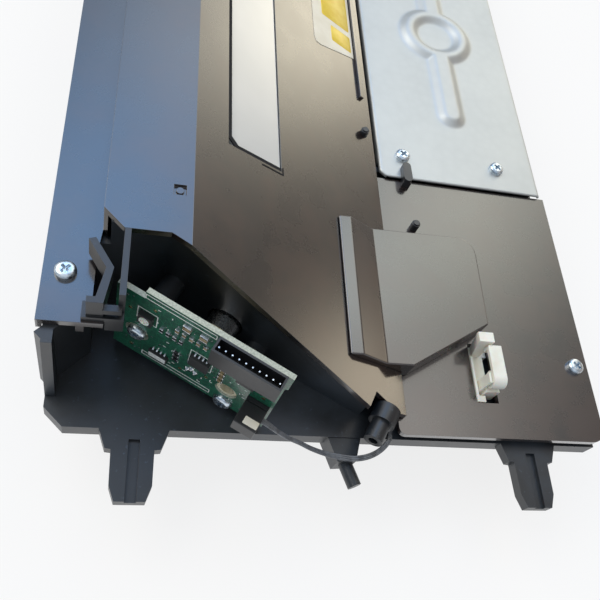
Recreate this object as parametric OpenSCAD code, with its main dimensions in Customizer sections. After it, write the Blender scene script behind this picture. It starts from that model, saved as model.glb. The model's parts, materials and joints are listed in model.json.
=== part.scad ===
// Laser scanning unit of an office printer.
// A moulded housing carries the laser diode and its driver board, a polygon scanner motor,
// two scan lenses and a fold mirror. Black covers, a metal motor cover and a dust glass close it.
// Bench frame: x from the left edge of the covers, y from the front edge of the base plate,
// z from the top of the base plate. Every sub-part is then moved to the part's origin, the
// middle of its footprint at the level of the tub's underside.

/* [Housing] */
// Width over the covers
cover_w = 182.3; // [174:0.1:220]
// Length of the base plate, without the locating tabs
body_l = 373; // [310:1:450]
// Thickness of the base plate
plate_t = 6; // [5:0.5:8]
// Depth of the optics tub below the base plate
tub_depth = 22; // [22:0.5:28]
// Thickness of the moulded walls
wall = 2.6; // [2:0.1:3.2]
// Length of a locating tab
tab_l = 20.6; // [16:0.2:26]
// Width of a locating tab
tab_w = 12; // [9:0.2:15]

/* [Covers] */
// Thickness of the moulded covers
cover_t = 2.2; // [1.8:0.1:2.6]
// Level of the flange along the left edge
flange_z = 33; // [32:0.1:34]
// Level of the flat top
block_z = 44; // [41:0.1:50]
// Level of the deck's top
deck_z = 4.5; // [4:0.1:5.4]
// Distance of the flat top's left edge from the covers' left edge
block_x = 14.2; // [13:0.1:16]
// Distance of the ridge from the covers' left edge
ridge_x = 37.5; // [35:0.1:42]
// Distance of the slope's lower edge from the covers' left edge
slope_end_x = 109.6; // [108:0.1:110.5]
// Gap between a cover and the part beside it
cover_gap = 0.3; // [0.2:0.05:0.5]

/* [Beam slit] */
// Length of the beam slit along the unit
slit_l = 218; // [180:1:262]
// Width of the beam slit, in plan
slit_w = 18.7; // [14:0.1:20]
// Distance of the slit's left edge from the covers' left edge
slit_x = 47.9; // [46:0.1:50]
// Thickness of the dust glass
glass_t = 1.8; // [1:0.1:2.2]

/* [Metal cover] */
// Thickness of the sheet metal
sheet_t = 0.8; // [0.6:0.1:1]
// Level of the metal cover's top
metal_z = 6; // [5.6:0.1:6.6]
// Distance of the metal cover's front edge from the base plate's front edge
metal_y = 102; // [96:0.5:108]
// Outer diameter of the pressed ring
ring_d = 36; // [26:0.5:40]
// Width of the pressed bars
bead_w = 14; // [9:0.5:16]
// Height of the pressed bead
bead_h = 2; // [1:0.1:2.6]

/* [Driver board] */
// Length of the laser driver board
board_l = 51.6; // [46:0.1:53]
// Height of the laser driver board
board_h = 37.4; // [34:0.1:38]
// Thickness of the laser driver board
board_t = 1.6; // [1:0.1:2]
// Angle of the board to the front edge
board_angle = 30; // [29:0.5:31]
// Pin spacing of both board connectors
pin_pitch = 2; // [1.8:0.1:2.1]
// Number of pins in the large header
pin_count = 10; // [6:1:10]

/* [Scanner motor] */
// Height of the beam plane at the polygon mirror, from the base plate's top
beam_z = -5; // [-6:0.1:-4]
// Distance across the polygon mirror's flats
mirror_af = 20; // [16:0.5:22]
// Thickness of the polygon mirror
mirror_t = 5; // [4:0.5:6]
// Diameter of the rotor hub
hub_d = 26; // [23:0.5:30]
// Diameter of the motor shaft
shaft_d = 3; // [2.5:0.1:4]
// Radial running clearance of the shaft in its bearing
shaft_gap = 0.03; // [0.02:0.005:0.05]

/* [Fasteners] */
// Thread diameter of the screws
screw_d = 3; // [2.5:0.1:3.2]
// Head diameter of the screws
head_d = 5.8; // [5:0.1:6.4]
// Height of a screw head
head_h = 2; // [1.6:0.1:2.4]
// Clearance of a screw in a cover's hole, on the radius
screw_gap = 0.2; // [0.1:0.05:0.3]

/* [Hidden] */
$fn = 48;

plate_x0 = 1.8;
plate_x1 = cover_w - 2.1;
tub_x0 = 9;
tub_x1 = plate_x1 - 6;
tub_y0 = 45;
tub_y1 = body_l - 14;
tub_z = -plate_t - tub_depth;
floor_t = 3;
floor_z = tub_z + floor_t;
mid_y = body_l / 2;
motor_x = 146.8 + (cover_w - 182.3);
side_wall_t = 2.8;
side_wall_y = 12.2;
flange_y = 16.3;
block_y = 39.3;
ridge_y = 35.9;
slope_end_z = deck_z + cover_t / cos(28);
slope = (block_z - slope_end_z) / (slope_end_x - ridge_x);
slope_angle = atan(slope);
cover_drop = cover_t / cos(slope_angle);
deck_x0 = slope_end_x - 7;
metal_x0 = slope_end_x + 2.1;
metal_x1 = cover_w - 2.1;
metal_y1 = body_l - (metal_y - 3);
slit_y0 = mid_y - slit_l / 2;
slit_y1 = mid_y + slit_l / 2;
function slope_z(x) = block_z - (x - ridge_x) * slope;

// Corner of the driver board, and the line that its laser beam follows
board_x = 19.3;
board_y = 27;
board_z = 3;
laser_u = board_l / 2;
laser_h = 9;
beam_dir = [sin(board_angle), cos(board_angle)];
laser_x = board_x + laser_u * cos(board_angle);
laser_y = board_y - laser_u * sin(board_angle);
beam_run = 195;
beam_fall = (board_z + laser_h - beam_z) / beam_run;
beam_tilt = atan(beam_fall);
function beam_height(s) = board_z + laser_h - s * beam_fall;

// Moves the bench frame to the part's origin
module seated() translate([-cover_w / 2, -mid_y, -tub_z]) children();
// A box from its low corner to its high corner
module span(a, b) translate(a) cube(b - a);
// Board frame: u along the board, t towards the front, h up from its lower edge
module on_board() translate([board_x, board_y, board_z]) rotate([0, 0, -board_angle]) children();
// Frame along the beam, with its origin at the laser and +x down the beam
module on_beam(s) translate([laser_x, laser_y, board_z + laser_h]) rotate([0, 0, 90 - board_angle])
  rotate([0, beam_tilt, 0]) translate([s, 0, 0]) children();
// A pan-head screw with a cross recess, its head standing on z = 0
module pan_screw(length) {
  recess_w = 0.9;
  recess_l = 3.1;
  difference() {
    union() {
      rotate_extrude($fn = 32)
        polygon(concat([[0, 0], [head_d / 2, 0], [head_d / 2, head_h * 0.45]],
          [for (a = [15:15:75]) [head_d / 2 * (0.55 + 0.45 * cos(a)), head_h * (0.45 + 0.55 * sin(a))]],
          [[head_d / 2 * 0.55, head_h], [0, head_h]]));
      translate([0, 0, -length]) cylinder(d = screw_d, h = length + 0.01, $fn = 24);
    }
    for (turn = [45, 135]) translate([0, 0, head_h - 0.6]) rotate([0, 0, turn])
      cube([recess_l, recess_w, 1.6], center = true);
  }
}
// A prism between two levels on an outline in plan
module prism(outline, z0, z1) translate([0, 0, z0]) linear_extrude(z1 - z0) polygon(outline);
// Points of an arc, for a rounded corner of an outline
function arc(c, r, a0, a1, n = 6) = [for (i = [0:n]) c + r * [cos(a0 + (a1 - a0) * i / n),
  sin(a0 + (a1 - a0) * i / n)]];

// ---- Outlines shared by the housing and its covers ----
plate_corner = 5.6;
plate_outline = [[plate_x0, plate_corner], [plate_x0 + plate_corner, 0], [plate_x1, 0],
  [plate_x1, body_l], [plate_x0 + plate_corner, body_l], [plate_x0, body_l - plate_corner]];
rim_end = [slope_end_x - 14.7, 5];
notch = rim_end + [3.1, 5.5];
hook_cut_x = 13.4;
cover_y1 = body_l - 8;
cover_outline = [[0, flange_y], [16.7, flange_y], [16.7, 22], [hook_cut_x, 22], [hook_cut_x, 38],
  [block_x, 45.2], [19.9, block_y], [ridge_x - 5.4, block_y], [ridge_x, ridge_y], rim_end, notch,
  [slope_end_x - 3.1, 5.5], [slope_end_x, 5.5], [slope_end_x, cover_y1], [0, cover_y1]];
saddle_hole = [[136.4, 12.2], [144.4, 33.6]];
screw_places = [[5.9, 30.8, flange_z], [5.9, body_l - 30.8, flange_z],
  [cover_w - 5.3, 27.4, deck_z], [cover_w - 5.3, body_l - 27.4, deck_z],
  [metal_x0 + 10, metal_y + 10.5, metal_z], [metal_x1 - 18, metal_y + 10.5, metal_z],
  [metal_x0 + 10, metal_y1 - 10.5, metal_z], [metal_x1 - 18, metal_y1 - 10.5, metal_z]];
function screw_length(p) = p[2] == deck_z ? 6 : 9;
function cover_under(p) = p[2] == metal_z ? metal_z - sheet_t : p[2] - cover_t;

// The space under the upper cover, between two distances from the front
module under_cover(y0, y1) translate([0, y1, 0]) rotate([90, 0, 0]) linear_extrude(y1 - y0)
  polygon([[0, -1], [0, flange_z - cover_t], [block_x + cover_t, flange_z - cover_t],
    [block_x + cover_t, block_z - cover_t], [ridge_x - (cover_drop - cover_t) / slope, block_z - cover_t],
    [slope_end_x, slope_end_z - cover_drop], [slope_end_x, -1]]);
// A wall of the given thickness on the inner side of the line from p to q
module wall_line(p, q, z0, z1, t = wall) {
  n = [p[1] - q[1], q[0] - p[0]] / norm(q - p);
  prism([p, q, q + n * t, p + n * t], z0, z1);
}
// Frame on the slope: x down the slope from the ridge, z out of the surface
module on_slope() translate([ridge_x, 0, block_z]) rotate([0, slope_angle, 0]) children();
slit_u0 = (slit_x - ridge_x) / cos(slope_angle);
slit_u1 = slit_u0 + slit_w / cos(slope_angle);

// ---- Housing ----
tab_outline = [[-tab_w / 2 - 4.1, 0.5], [-tab_w / 2 - 1.9, -5.8], [-tab_w / 2 - 0.2, -6],
  [-tab_w / 2 + 0.1, 4.4 - tab_l], [-tab_w / 2 + 1.7, -tab_l], [tab_w / 2 - 1.7, -tab_l],
  [tab_w / 2 - 0.1, 4.4 - tab_l], [tab_w / 2, -6], [tab_w / 2 + 1.9, -5.8], [tab_w / 2 + 4.2, 0.5]];
tab_x = [27.4, cover_w - 27.4];
tab_t = 4;
module locating_tab() difference() {
  prism(tab_outline, -tab_t, 0);
  span([-1.4, -tab_l - 1, -1.4], [1.8, -3, 1]);
}
setback = 3;
diag = (rim_end - [ridge_x, ridge_y]) / norm(rim_end - [ridge_x, ridge_y]);
inward = [-diag[1], diag[0]];
wall_a = [ridge_x, ridge_y] + inward * setback;
wall_y = block_y + setback;
wall_start = wall_a - diag * (wall_y - wall_a[1]) / -diag[1];
wall_end = rim_end + inward * setback;
barrel_r = 5;
pocket = [hook_cut_x - 0.4, side_wall_y + hook_cut_x - 0.4 - plate_x0];
bar_x = slope_end_x - 6.2;
module cover_walls() intersection() {
  union() {
    translate([plate_x0, 0, 0]) rotate([90, 0, 90]) linear_extrude(side_wall_t)
      polygon([[side_wall_y - 3.4, 0], [side_wall_y, block_z], [cover_y1 - 0.4, block_z], [cover_y1 - 0.4, 0]]);
    wall_line([plate_x0, side_wall_y], pocket, 0, flange_z);
    wall_line(pocket, [pocket[0], wall_y + 1], 0, flange_z);
    wall_line([pocket[0] - wall, wall_y], wall_start + [wall / 2, 0], 0, block_z);
    wall_line(wall_start, wall_end, 0, block_z);
    wall_line([plate_x0, cover_y1 - 3], [deck_x0 - 0.3, cover_y1 - 3], 0, block_z);
  }
  under_cover(0, body_l);
}
deck_under = deck_z - cover_t;
bay_t = 1.5;
bay_z = metal_z - sheet_t - bay_t;
bay_wall_y = [metal_y + 3.2, metal_y1 - 3.2 - wall];
module deck_walls() {
  deck_x = slope_end_x - 1.6;
  wall_line([deck_x + 7, 1.2], [plate_x1, 1.2], 0, deck_under);
  wall_line([deck_x, body_l - 1.2 - wall], [plate_x1, body_l - 1.2 - wall], 0, deck_under);
  for (y = [[1.2, metal_y], [metal_y1, body_l - 1.2]])
    span([plate_x1 - wall, y[0], 0], [plate_x1, y[1], deck_under]);
  // Walls across the tub, under the two seals of the motor bay
  for (y = bay_wall_y) {
    span([bar_x, y, -2], [tub_x1 - wall, y + wall, bay_z]);
    span([tub_x1 - wall - 1, y, 0], [metal_x1 - 1.2, y + wall, bay_z]);
  }
  // Bar across the tub, which carries the edges of the deck and of the slope
  difference() {
    union() {
      span([bar_x, tub_y0 + wall, -2], [bar_x + 4.6, tub_y1 - wall, deck_under]);
      span([bar_x, tub_y0 - 4, 0], [bar_x + 4.6, tub_y1 + 4, deck_under]);
      intersection() {
        span([bar_x + 2, metal_y + cover_gap, 0], [bar_x + 4.6, metal_y1 - cover_gap, block_z]);
        under_cover(0, body_l);
      }
    }
    translate([laser_x, laser_y, 0]) rotate([0, 0, 90 - board_angle]) span([0, -6, -9], [200, 6, 9]);
  }
}
// Tubular boss in line with the board, whose bore takes a locating pin
boss_r = 3;
boss_bore_r = 1.5;
boss_len = 12.1;
boss_at = [97.1 + slope_end_x - 109.6, -3.4, 8];
module pin_boss() translate(boss_at) rotate([0, 0, -board_angle]) rotate([-90, 0, 0]) difference() {
  union() {
    cylinder(r = boss_r, h = boss_len);
    translate([0, 0, 6.4]) cylinder(r = 4.2, h = boss_len - 6.4);
    translate([-2, 0, 5]) cube([4, boss_at[2] + 3, boss_len - 5]);
  }
  translate([0, 0, -1]) cylinder(r = boss_bore_r, h = boss_len + 2);
}
// Front bracket with a short peg
module front_bracket() translate([slope_end_x - 109.6, 0, 0]) {
  prism([[84.9, 2.5], [90.8, 8], [97, 2.3], [94.4, -7.2], [88.4, -7.6]], -plate_t - 2.5, -0.4);
  translate([91.6, -6, -4.4]) rotate([0, 0, 20]) rotate([90, 0, 0]) cylinder(d = 4.4, h = 8.5);
}
holder_y0 = 3;
holder_y1 = 8;
screw_1 = [7.3, 13.3];
screw_2 = [board_l - 13.9, 2.2];
// Posts that stand on the tub floor
motor_board_z = -20.4;
motor_post = [[-16, -18], [-16, 18], [18, -18], [18, 18]];
lens_h = 10;
lens_z = beam_z - lens_h / 2;
lens_front = [motor_x - 29.8, 25];
lens_rear = [motor_x - 58.8, 56];
fold_x = 18.9;
fold_half = slit_l / 2 - 11;
fold_w = 12;
fold_t = 4;
slit_mid = slit_x + slit_w / 2;
fold_tilt = atan2(slope_z(slit_mid) - beam_z, slit_mid - fold_x) / 2;
// Frame of the fold mirror: its reflecting face is x = 0 at the middle of the unit
module on_fold() translate([fold_x, mid_y, beam_z]) rotate([0, -fold_tilt, 0]) children();
module fold_space(grow) on_fold() span([-fold_t - grow, -fold_half - grow, -fold_w / 2 - grow],
  [grow, fold_half + grow, fold_w / 2 + 3]);
clip_t = 0.5;
module mirror_clip(grow) on_fold() for (s = [-1, 1]) translate([0.02, s * (fold_half - 4), 0])
  span([-grow, -2.5 - grow, -fold_w / 2 - 3 - grow], [clip_t + grow, 2.5 + grow, fold_w / 2 + 0.5 + grow]);
pivot_mirror = [32, tub_y0 + wall + 31.9];
module tub_posts() {
  for (p = motor_post) translate([motor_x + p[0], mid_y + p[1], floor_z - 0.5]) difference() {
    cylinder(d = 7, h = motor_board_z - floor_z + 0.5);
    translate([0, 0, -0.1]) cylinder(d = screw_d + 0.1, h = 20);
  }
  for (lens = [lens_front, lens_rear], s = [-1, 1])
    translate([lens[0], mid_y + s * (lens[1] - 4), floor_z - 0.5]) {
      translate([-5, -3.5, 0]) cube([10, 7, lens_z - floor_z + 0.5]);
      translate([-5, s > 0 ? 4.3 : -6.8, 0]) cube([10, 2.5, lens_z + lens_h - floor_z + 0.5]);
      translate([-5, s > 0 ? 3 : -6.8, 0]) cube([10, 3.8, lens_z - floor_z]);
    }
  difference() {
    for (s = [-1, 1]) translate([0, mid_y + s * (fold_half - 3), 0])
      span([tub_x0 + wall - 0.5, -4.5, floor_z - 0.5], [fold_x + 6, 4.5, beam_z - 3]);
    fold_space(0.04);
    mirror_clip(0.04);
  }
  translate([pivot_mirror[0], pivot_mirror[1], floor_z - 0.5]) translate([-4, -3, 0])
    cube([8, 6, beam_z - 4 - floor_z + 0.5]);
}
sync_u0 = 61;
sync_w = 13.5;
sync_y = 35;
sync_t = 1.2;
module tub_space(z1) span([tub_x0 + wall, tub_y0 + wall, floor_z], [tub_x1 - wall, tub_y1 - wall, z1]);
module screw_holes() for (p = screw_places) translate([p[0], p[1], p[2] - screw_length(p) - 1])
  cylinder(d = screw_d + 0.1, h = 20, $fn = 24);
module screw_post(p, z0) translate([p[0], p[1], z0]) cylinder(d = 6.6, h = cover_under(p) - z0);
// The moulding in four simple pieces: its plate, the tub below it, and the walls above it
module base_plate() color("#1b1d20") seated() difference() {
  union() {
    difference() {
      prism(plate_outline, -plate_t, 0);
      tub_space(1);
    }
    pin_boss();
    front_bracket();
    for (x = tab_x) {
      translate([x, 0, 0]) locating_tab();
      translate([x, body_l, 0]) mirror([0, 1, 0]) locating_tab();
    }
    // Slot posts for the sync sensor board
    for (u = [sync_u0 - 1.5, sync_u0 + sync_w - 1.5]) on_board()
      span([u, sync_y - 1.6, -board_z - 0.2], [u + 3, sync_y + sync_t + 1.6, -board_z + 2.4]);
  }
  screw_holes();
  on_board() span([sync_u0 - 0.05, sync_y - 0.05, -board_z], [sync_u0 + sync_w + 0.05, sync_y + sync_t + 0.05, 12]);
}
module optics_tub() color("#1b1d20") seated() difference() {
  union() {
    difference() {
      span([tub_x0, tub_y0, tub_z], [tub_x1, tub_y1, -plate_t]);
      tub_space(1);
    }
    tub_posts();
    for (p = screw_places) if (p[2] == metal_z) screw_post(p, floor_z - 0.5);
  }
  screw_holes();
}
module housing_walls() color("#1b1d20") seated() difference() {
  union() {
    cover_walls();
    for (p = screw_places) if (p[2] == flange_z) screw_post(p, 0);
    for (s = [screw_1, screw_2]) on_board() translate([s[0], holder_y1, s[1]]) rotate([-90, 0, 0])
      cylinder(d = 7, h = 14);
  }
  screw_holes();
  for (s = [screw_1, screw_2]) on_board() translate([s[0], 0, s[1]]) rotate([-90, 0, 0])
    cylinder(d = screw_d + 0.1, h = 17, $fn = 24);
  on_beam(12) rotate([0, 90, 0]) cylinder(r = barrel_r + 1, h = 16);
}
module bay_frame() color("#1b1d20") seated() difference() {
  union() {
    deck_walls();
    for (p = screw_places) if (p[2] == deck_z) screw_post(p, 0);
  }
  screw_holes();
}

// ---- Covers ----
ledge = 1.5;
glass_w = -0.5 - glass_t;
seal_t = 0.4;
seal_w = glass_w - seal_t;
glass_fit = 0.1;
module upper_cover() color("#141519") seated() difference() {
  union() {
    intersection() {
      difference() {
        translate([0, body_l, 0]) rotate([90, 0, 0]) linear_extrude(body_l) polygon([[0, -2],
          [0, flange_z], [block_x, flange_z], [block_x, block_z], [ridge_x, block_z],
          [slope_end_x, slope_end_z], [slope_end_x, -2]]);
        translate([-1, 0, 0]) under_cover(-1, body_l + 1);
        under_cover(-1, body_l + 1);
        span([-1, -1, -3], [cover_w, body_l + 1, 0]);
        // The flat top starts behind the hook
        span([block_x - 0.5, -1, flange_z - 9], [19.8, 38.2, block_z + 1]);
      }
      prism(cover_outline, -3, block_z + 1);
    }
    span([0, flange_y, flange_z - 4.1], [1.5, cover_y1, flange_z - 0.5]);
    span([block_x - 1, flange_y, flange_z - cover_t], [16.7, 22, flange_z]);
    span([9.7, flange_y, flange_z - 5.2], [11.9, flange_y + 1.5, flange_z - 0.5]);
    // Frame under the slit, whose ledge carries the glass
    on_slope() span([slit_u0 - 1.5, slit_y0 - 1.5, seal_w - 1.2], [slit_u1 + 1.5, slit_y1 + 1.5, -cover_t + 0.3]);
  }
  on_slope() {
    span([slit_u0, slit_y0, seal_w], [slit_u1, slit_y1, 3]);
    span([slit_u0 + ledge, slit_y0 + ledge, -12], [slit_u1 - ledge, slit_y1 - ledge, 3]);
  }
  for (p = screw_places) if (p[2] == flange_z) translate([p[0], p[1], flange_z - 5])
    cylinder(r = screw_d / 2 + screw_gap, h = 10);
  // Small square recess with a ring in it
  difference() {
    span([32, 52, block_z - 1], [35.4, 55.4, block_z + 1]);
    translate([33.7, 53.7, block_z - 1.5]) cylinder(r = 1.1, h = 1.2);
  }
}
deck_corner_r = 5;
module deck_plate(front) {
  y0 = front ? 0.2 : metal_y1 + cover_gap;
  y1 = front ? metal_y - cover_gap : body_l - 0.2;
  x1 = cover_w;
  outline = front
    ? concat([[slope_end_x - 1.9, 6]],
        arc([slope_end_x + 0.5, 2.6], 2.4, 180, 270, 4),
        arc([x1 - deck_corner_r, y0 + deck_corner_r], deck_corner_r, -90, 0),
        [[x1, y1], [deck_x0, y1], [deck_x0, 28], [slope_end_x - 1.9, 28]])
    : concat([[deck_x0, y0], [x1, y0]],
        arc([x1 - deck_corner_r, y1 - deck_corner_r], deck_corner_r, 0, 90), [[deck_x0, y1]]);
  difference() {
    union() {
      prism(outline, deck_under, deck_z);
      // Skirt down the right side
      span([x1 - 1.8, y0 + deck_corner_r, -2.5], [x1, y1 - (front ? 0 : deck_corner_r), deck_under + 0.5]);
    }
    for (p = screw_places) if (p[2] == deck_z) translate([p[0], p[1], deck_z - 5])
      cylinder(r = screw_d / 2 + screw_gap, h = 10);
    if (front) span(concat(saddle_hole[0], [-3]), concat(saddle_hole[1], [9]));
  }
}
module deck_cover() color("#17181b") seated() deck_plate(true);
module rear_deck_cover() color("#17181b") seated() deck_plate(false);
// Pressed sheet cover with a ring and two bars raised in it
module bead(grow, z0, z1) translate([motor_x, mid_y, z0]) {
  difference() {
    union() {
      cylinder(d = ring_d + 2 * grow, h = z1 - z0);
      for (s = [-1, 1]) {
        translate([-bead_w / 2 - grow, s > 0 ? 0 : -48, 0]) cube([bead_w + 2 * grow, 48, z1 - z0]);
        translate([0, s * 48, 0]) cylinder(d = bead_w + 2 * grow, h = z1 - z0);
      }
    }
    translate([0, 0, -1]) cylinder(d = 15.5 - 2 * grow, h = z1 - z0 + 2);
  }
}
module motor_cover() color("#c9cccb") seated() difference() {
  union() {
    span([metal_x0, metal_y, metal_z - sheet_t], [metal_x1, metal_y1, metal_z]);
    for (x = [metal_x0, metal_x1 - sheet_t]) span([x, metal_y + 4 + wall, 0.6], [x + sheet_t, metal_y1 - 4 - wall, metal_z - 0.2]);
    bead(0, metal_z - 0.2, metal_z + bead_h);
  }
  bead(-sheet_t, metal_z - sheet_t - 1, metal_z + bead_h - sheet_t);
  for (p = screw_places) if (p[2] == metal_z) translate([p[0], p[1], metal_z - 3])
    cylinder(r = screw_d / 2 + screw_gap, h = 6);
}
// Hood over the cables at the foot of the slope
hood_a = 18.6;
hood_c = 13;
hood_t = 1.5;
hood_outline = concat([[slope_end_x - 20.8, 20], [slope_end_x + 2.2, 20.1], [slope_end_x + 31.4, 37.2]],
  [[slope_end_x + 31.8, 64.5]], arc([slope_end_x + 25.3, 65.3], 6.5, 0, 85, 5), [[slope_end_x - 20.8, 71.2]]);
hood_mid = [slope_end_x + 4, 45];
module hood_section(inset) translate([0, body_l / 2, 0]) rotate([90, 0, 0]) linear_extrude(body_l)
  polygon([[slope_end_x - 20.8 + inset * 2, -1], [slope_end_x - 20.8 + inset * 2, hood_a - inset],
    [slope_end_x - 16.6, hood_a - inset], [slope_end_x - 7 - inset * 0.3, hood_c - inset],
    [slope_end_x + 40, hood_c - inset], [slope_end_x + 40, -1]]);
module connector_hood() color("#1a1b1d") seated() difference() {
  intersection() {
    hood_section(0);
    prism(hood_outline, 0, 30);
  }
  intersection() {
    hood_section(hood_t);
    prism([for (p = hood_outline) hood_mid + (p - hood_mid) * 0.94], 0, 40);
  }
  // Lower edge follows the slope and the deck
  translate([0, body_l, 0]) rotate([90, 0, 0]) linear_extrude(2 * body_l) polygon([[60, -5],
    [60, slope_z(60) + 0.02], [slope_end_x, slope_end_z + 0.02], [slope_end_x + 0.02, deck_z + 0.02],
    [slope_end_x + 60, deck_z + 0.02], [slope_end_x + 60, -5]]);
}

// ---- Dust glass and seals ----
module slit_frame(inset, w0, w1) on_slope()
  span([slit_u0 + inset, slit_y0 + inset, w0], [slit_u1 - inset, slit_y1 - inset, w1]);
module dust_glass() color("#e9e4cf") seated() difference() {
  slit_frame(glass_fit, glass_w, glass_w + glass_t);
  on_slope() translate([slit_u0, slit_y0, glass_w - 1]) rotate([0, 0, 45]) cube([4.4, 4.4, 9], center = true);
}
module glass_seal() color("#2a2b2d") seated() difference() {
  slit_frame(glass_fit, seal_w, glass_w);
  slit_frame(ledge, seal_w - 1, glass_w + 1);
}
module motor_bay_seal() color("#303236") seated() for (y = bay_wall_y)
  span([metal_x0 + 0.4, y, bay_z], [metal_x1 - 1.2, y + wall, metal_z - sheet_t]);

// ---- Small parts on the covers ----
module harness_hook() color("#1b1c1f") seated() {
  hook_top = flange_z + 9;
  // Foot on the flange, V-shaped leaf, and the wall beside the flat top
  prism([[11, 17], [21.7, 17], [21.7, 20.8], [17.2, 20.8], [17.2, 21.8], [11, 21.8]], flange_z, flange_z + 1.8);
  prism([[12.2, 17.6], [16.4, 17.6], [18.2, 28.2], [13, 36.8], [11.2, 36.2], [16.2, 28], [14.4, 19.4], [12.2, 19.4]],
    flange_z + 1.7, hook_top);
  span([16.2, 17.4, flange_z + 3.4], [21, 19.3, flange_z + 5.4]);
  span([16.9, 17.6, flange_z - 6], [21.7, 20.8, flange_z + 1]);
  span([20, 19.2, flange_z - 3], [21.7, 20.8, block_z]);
  span([20, 19.2, board_z + board_h - 3], [21.7, block_y, block_z]);
}
saddle_pivot = [18.2, 10];
pivot_r = 1;
pivot_gap = 0.05;
hinge_r = 3;
latch_x = [139.3, 144.1];
latch_end = 29.4;
module wire_saddle() color("#f1ede0") seated() {
  low = [saddle_hole[0][0] + 0.2, saddle_hole[0][1] + 0.2];
  high = [saddle_hole[1][0] - 0.2, saddle_hole[1][1] - 0.2];
  front = saddle_pivot[0] - hinge_r;
  // Floor, open at its near right corner and beside the loop
  span([low[0], low[1], 0], [latch_x[0] + 0.4, high[1], 2]);
  span([latch_x[0] + 0.3, front, 0], [high[0] - 1.5, high[1], 2]);
  for (y = [[front, front + 3.6], [latch_end + 0.5, high[1]]]) span([high[0] - 1.6, y[0], 0], [high[0], y[1], 2]);
  // Left rim, near end, and the wall and cheek of the hinge
  span([low[0], low[1], 1.9], [low[0] + 0.8, latch_end - 0.8, deck_z + 0.5]);
  span([low[0], low[1], 1.9], [latch_x[0] + 0.4, low[1] + 2.2, deck_z + 0.3]);
  span([latch_x[0], front, 1.9], [latch_x[1], front + 1.6, saddle_pivot[1] - hinge_r - 0.3]);
  span([latch_x[0] - 1.1, saddle_pivot[0] - 1.8, 1.9], [latch_x[0] - 0.3, saddle_pivot[0] + 1.8, saddle_pivot[1] + 1.8]);
  // Catch with its sloping side
  translate([latch_x[0], high[1], 0]) rotate([90, 0, 0]) linear_extrude(high[1] - latch_end - 0.5)
    polygon([[-0.7, 1.9], [1.9, 1.9], [1.9, 14.2], [-3.5, 14.2], [-3.5, 13.2]]);
  translate([latch_x[0] - 0.7, saddle_pivot[0], saddle_pivot[1]]) rotate([0, 90, 0])
    cylinder(r = pivot_r, h = latch_x[1] - latch_x[0] + 0.7);
}
module saddle_latch() color("#f4f1e6") seated() difference() {
  union() {
    translate([latch_x[0], saddle_pivot[0], saddle_pivot[1]]) rotate([0, 90, 0])
      cylinder(r = hinge_r, h = latch_x[1] - latch_x[0]);
    span([latch_x[0], saddle_pivot[0], saddle_pivot[1] + hinge_r - 1.6], [latch_x[1], latch_end, saddle_pivot[1] + hinge_r]);
    span([latch_x[0], latch_end - 1.3, saddle_pivot[1] - 0.6], [latch_x[1], latch_end, saddle_pivot[1] + hinge_r - 1]);
  }
  translate([latch_x[0] - 1, saddle_pivot[0], saddle_pivot[1]]) rotate([0, 90, 0])
    cylinder(r = pivot_r + pivot_gap, h = 12);
}
module cover_clip() color("#18191b") seated() {
  c = [metal_x0 + 10.1, metal_y + 1];
  prism(concat(arc(c + [0, 2.9], 1.7, 0, 180), arc(c - [0, 2.9], 1.7, 180, 360)), metal_z, metal_z + 2.8);
  span([c[0] - 1.7, c[1] - 4.2, deck_z], [c[0] + 1.7, metal_y - 0.1, metal_z + 1]);
}
module peg(p, base) translate([p[0], p[1], base]) {
  cylinder(d = 3.2, h = 2.9, $fn = 32);
  translate([0, 0, 2.8]) cylinder(d = 2.4, h = 0.7, $fn = 32);
}
module locating_pegs() color("#1c1d1f") seated() {
  difference() {
    peg([slope_end_x - 4.5, metal_y + 16.1], slope_z(slope_end_x - 4.5) - 0.6);
    translate([0, body_l, 0]) rotate([90, 0, 0]) linear_extrude(body_l)
      polygon([[60, -5], [60, slope_z(60)], [slope_end_x, slope_end_z], [slope_end_x, -5]]);
  }
  translate([0, 0, 0.3]) peg([metal_x0 + 11.1, metal_y - 22], deck_z - 0.3);
}
rail_u = (slope_end_x - 4 - ridge_x) / cos(slope_angle);
module edge_rail() color("#141416") seated() on_slope()
  span([rail_u - 1, metal_y + 34.8, 0], [rail_u + 1, metal_y1 - 34.8, 1.2]);
module blank_label() color("#eef0ee") seated() on_slope() translate([0, 0, 0.01]) linear_extrude(0.15)
  polygon(concat([[rail_u - 23.6, metal_y + 54], [rail_u - 22.6, metal_y + 51.2], [rail_u - 20.4, metal_y + 51]],
    [[rail_u - 1.4, metal_y + 56.3], [rail_u - 1.4, metal_y + 116], [rail_u - 23.6, metal_y + 116]]));
module cover_screws() color("#c4c9cf") seated()
  for (p = screw_places) translate(p) pan_screw(screw_length(p));

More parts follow.
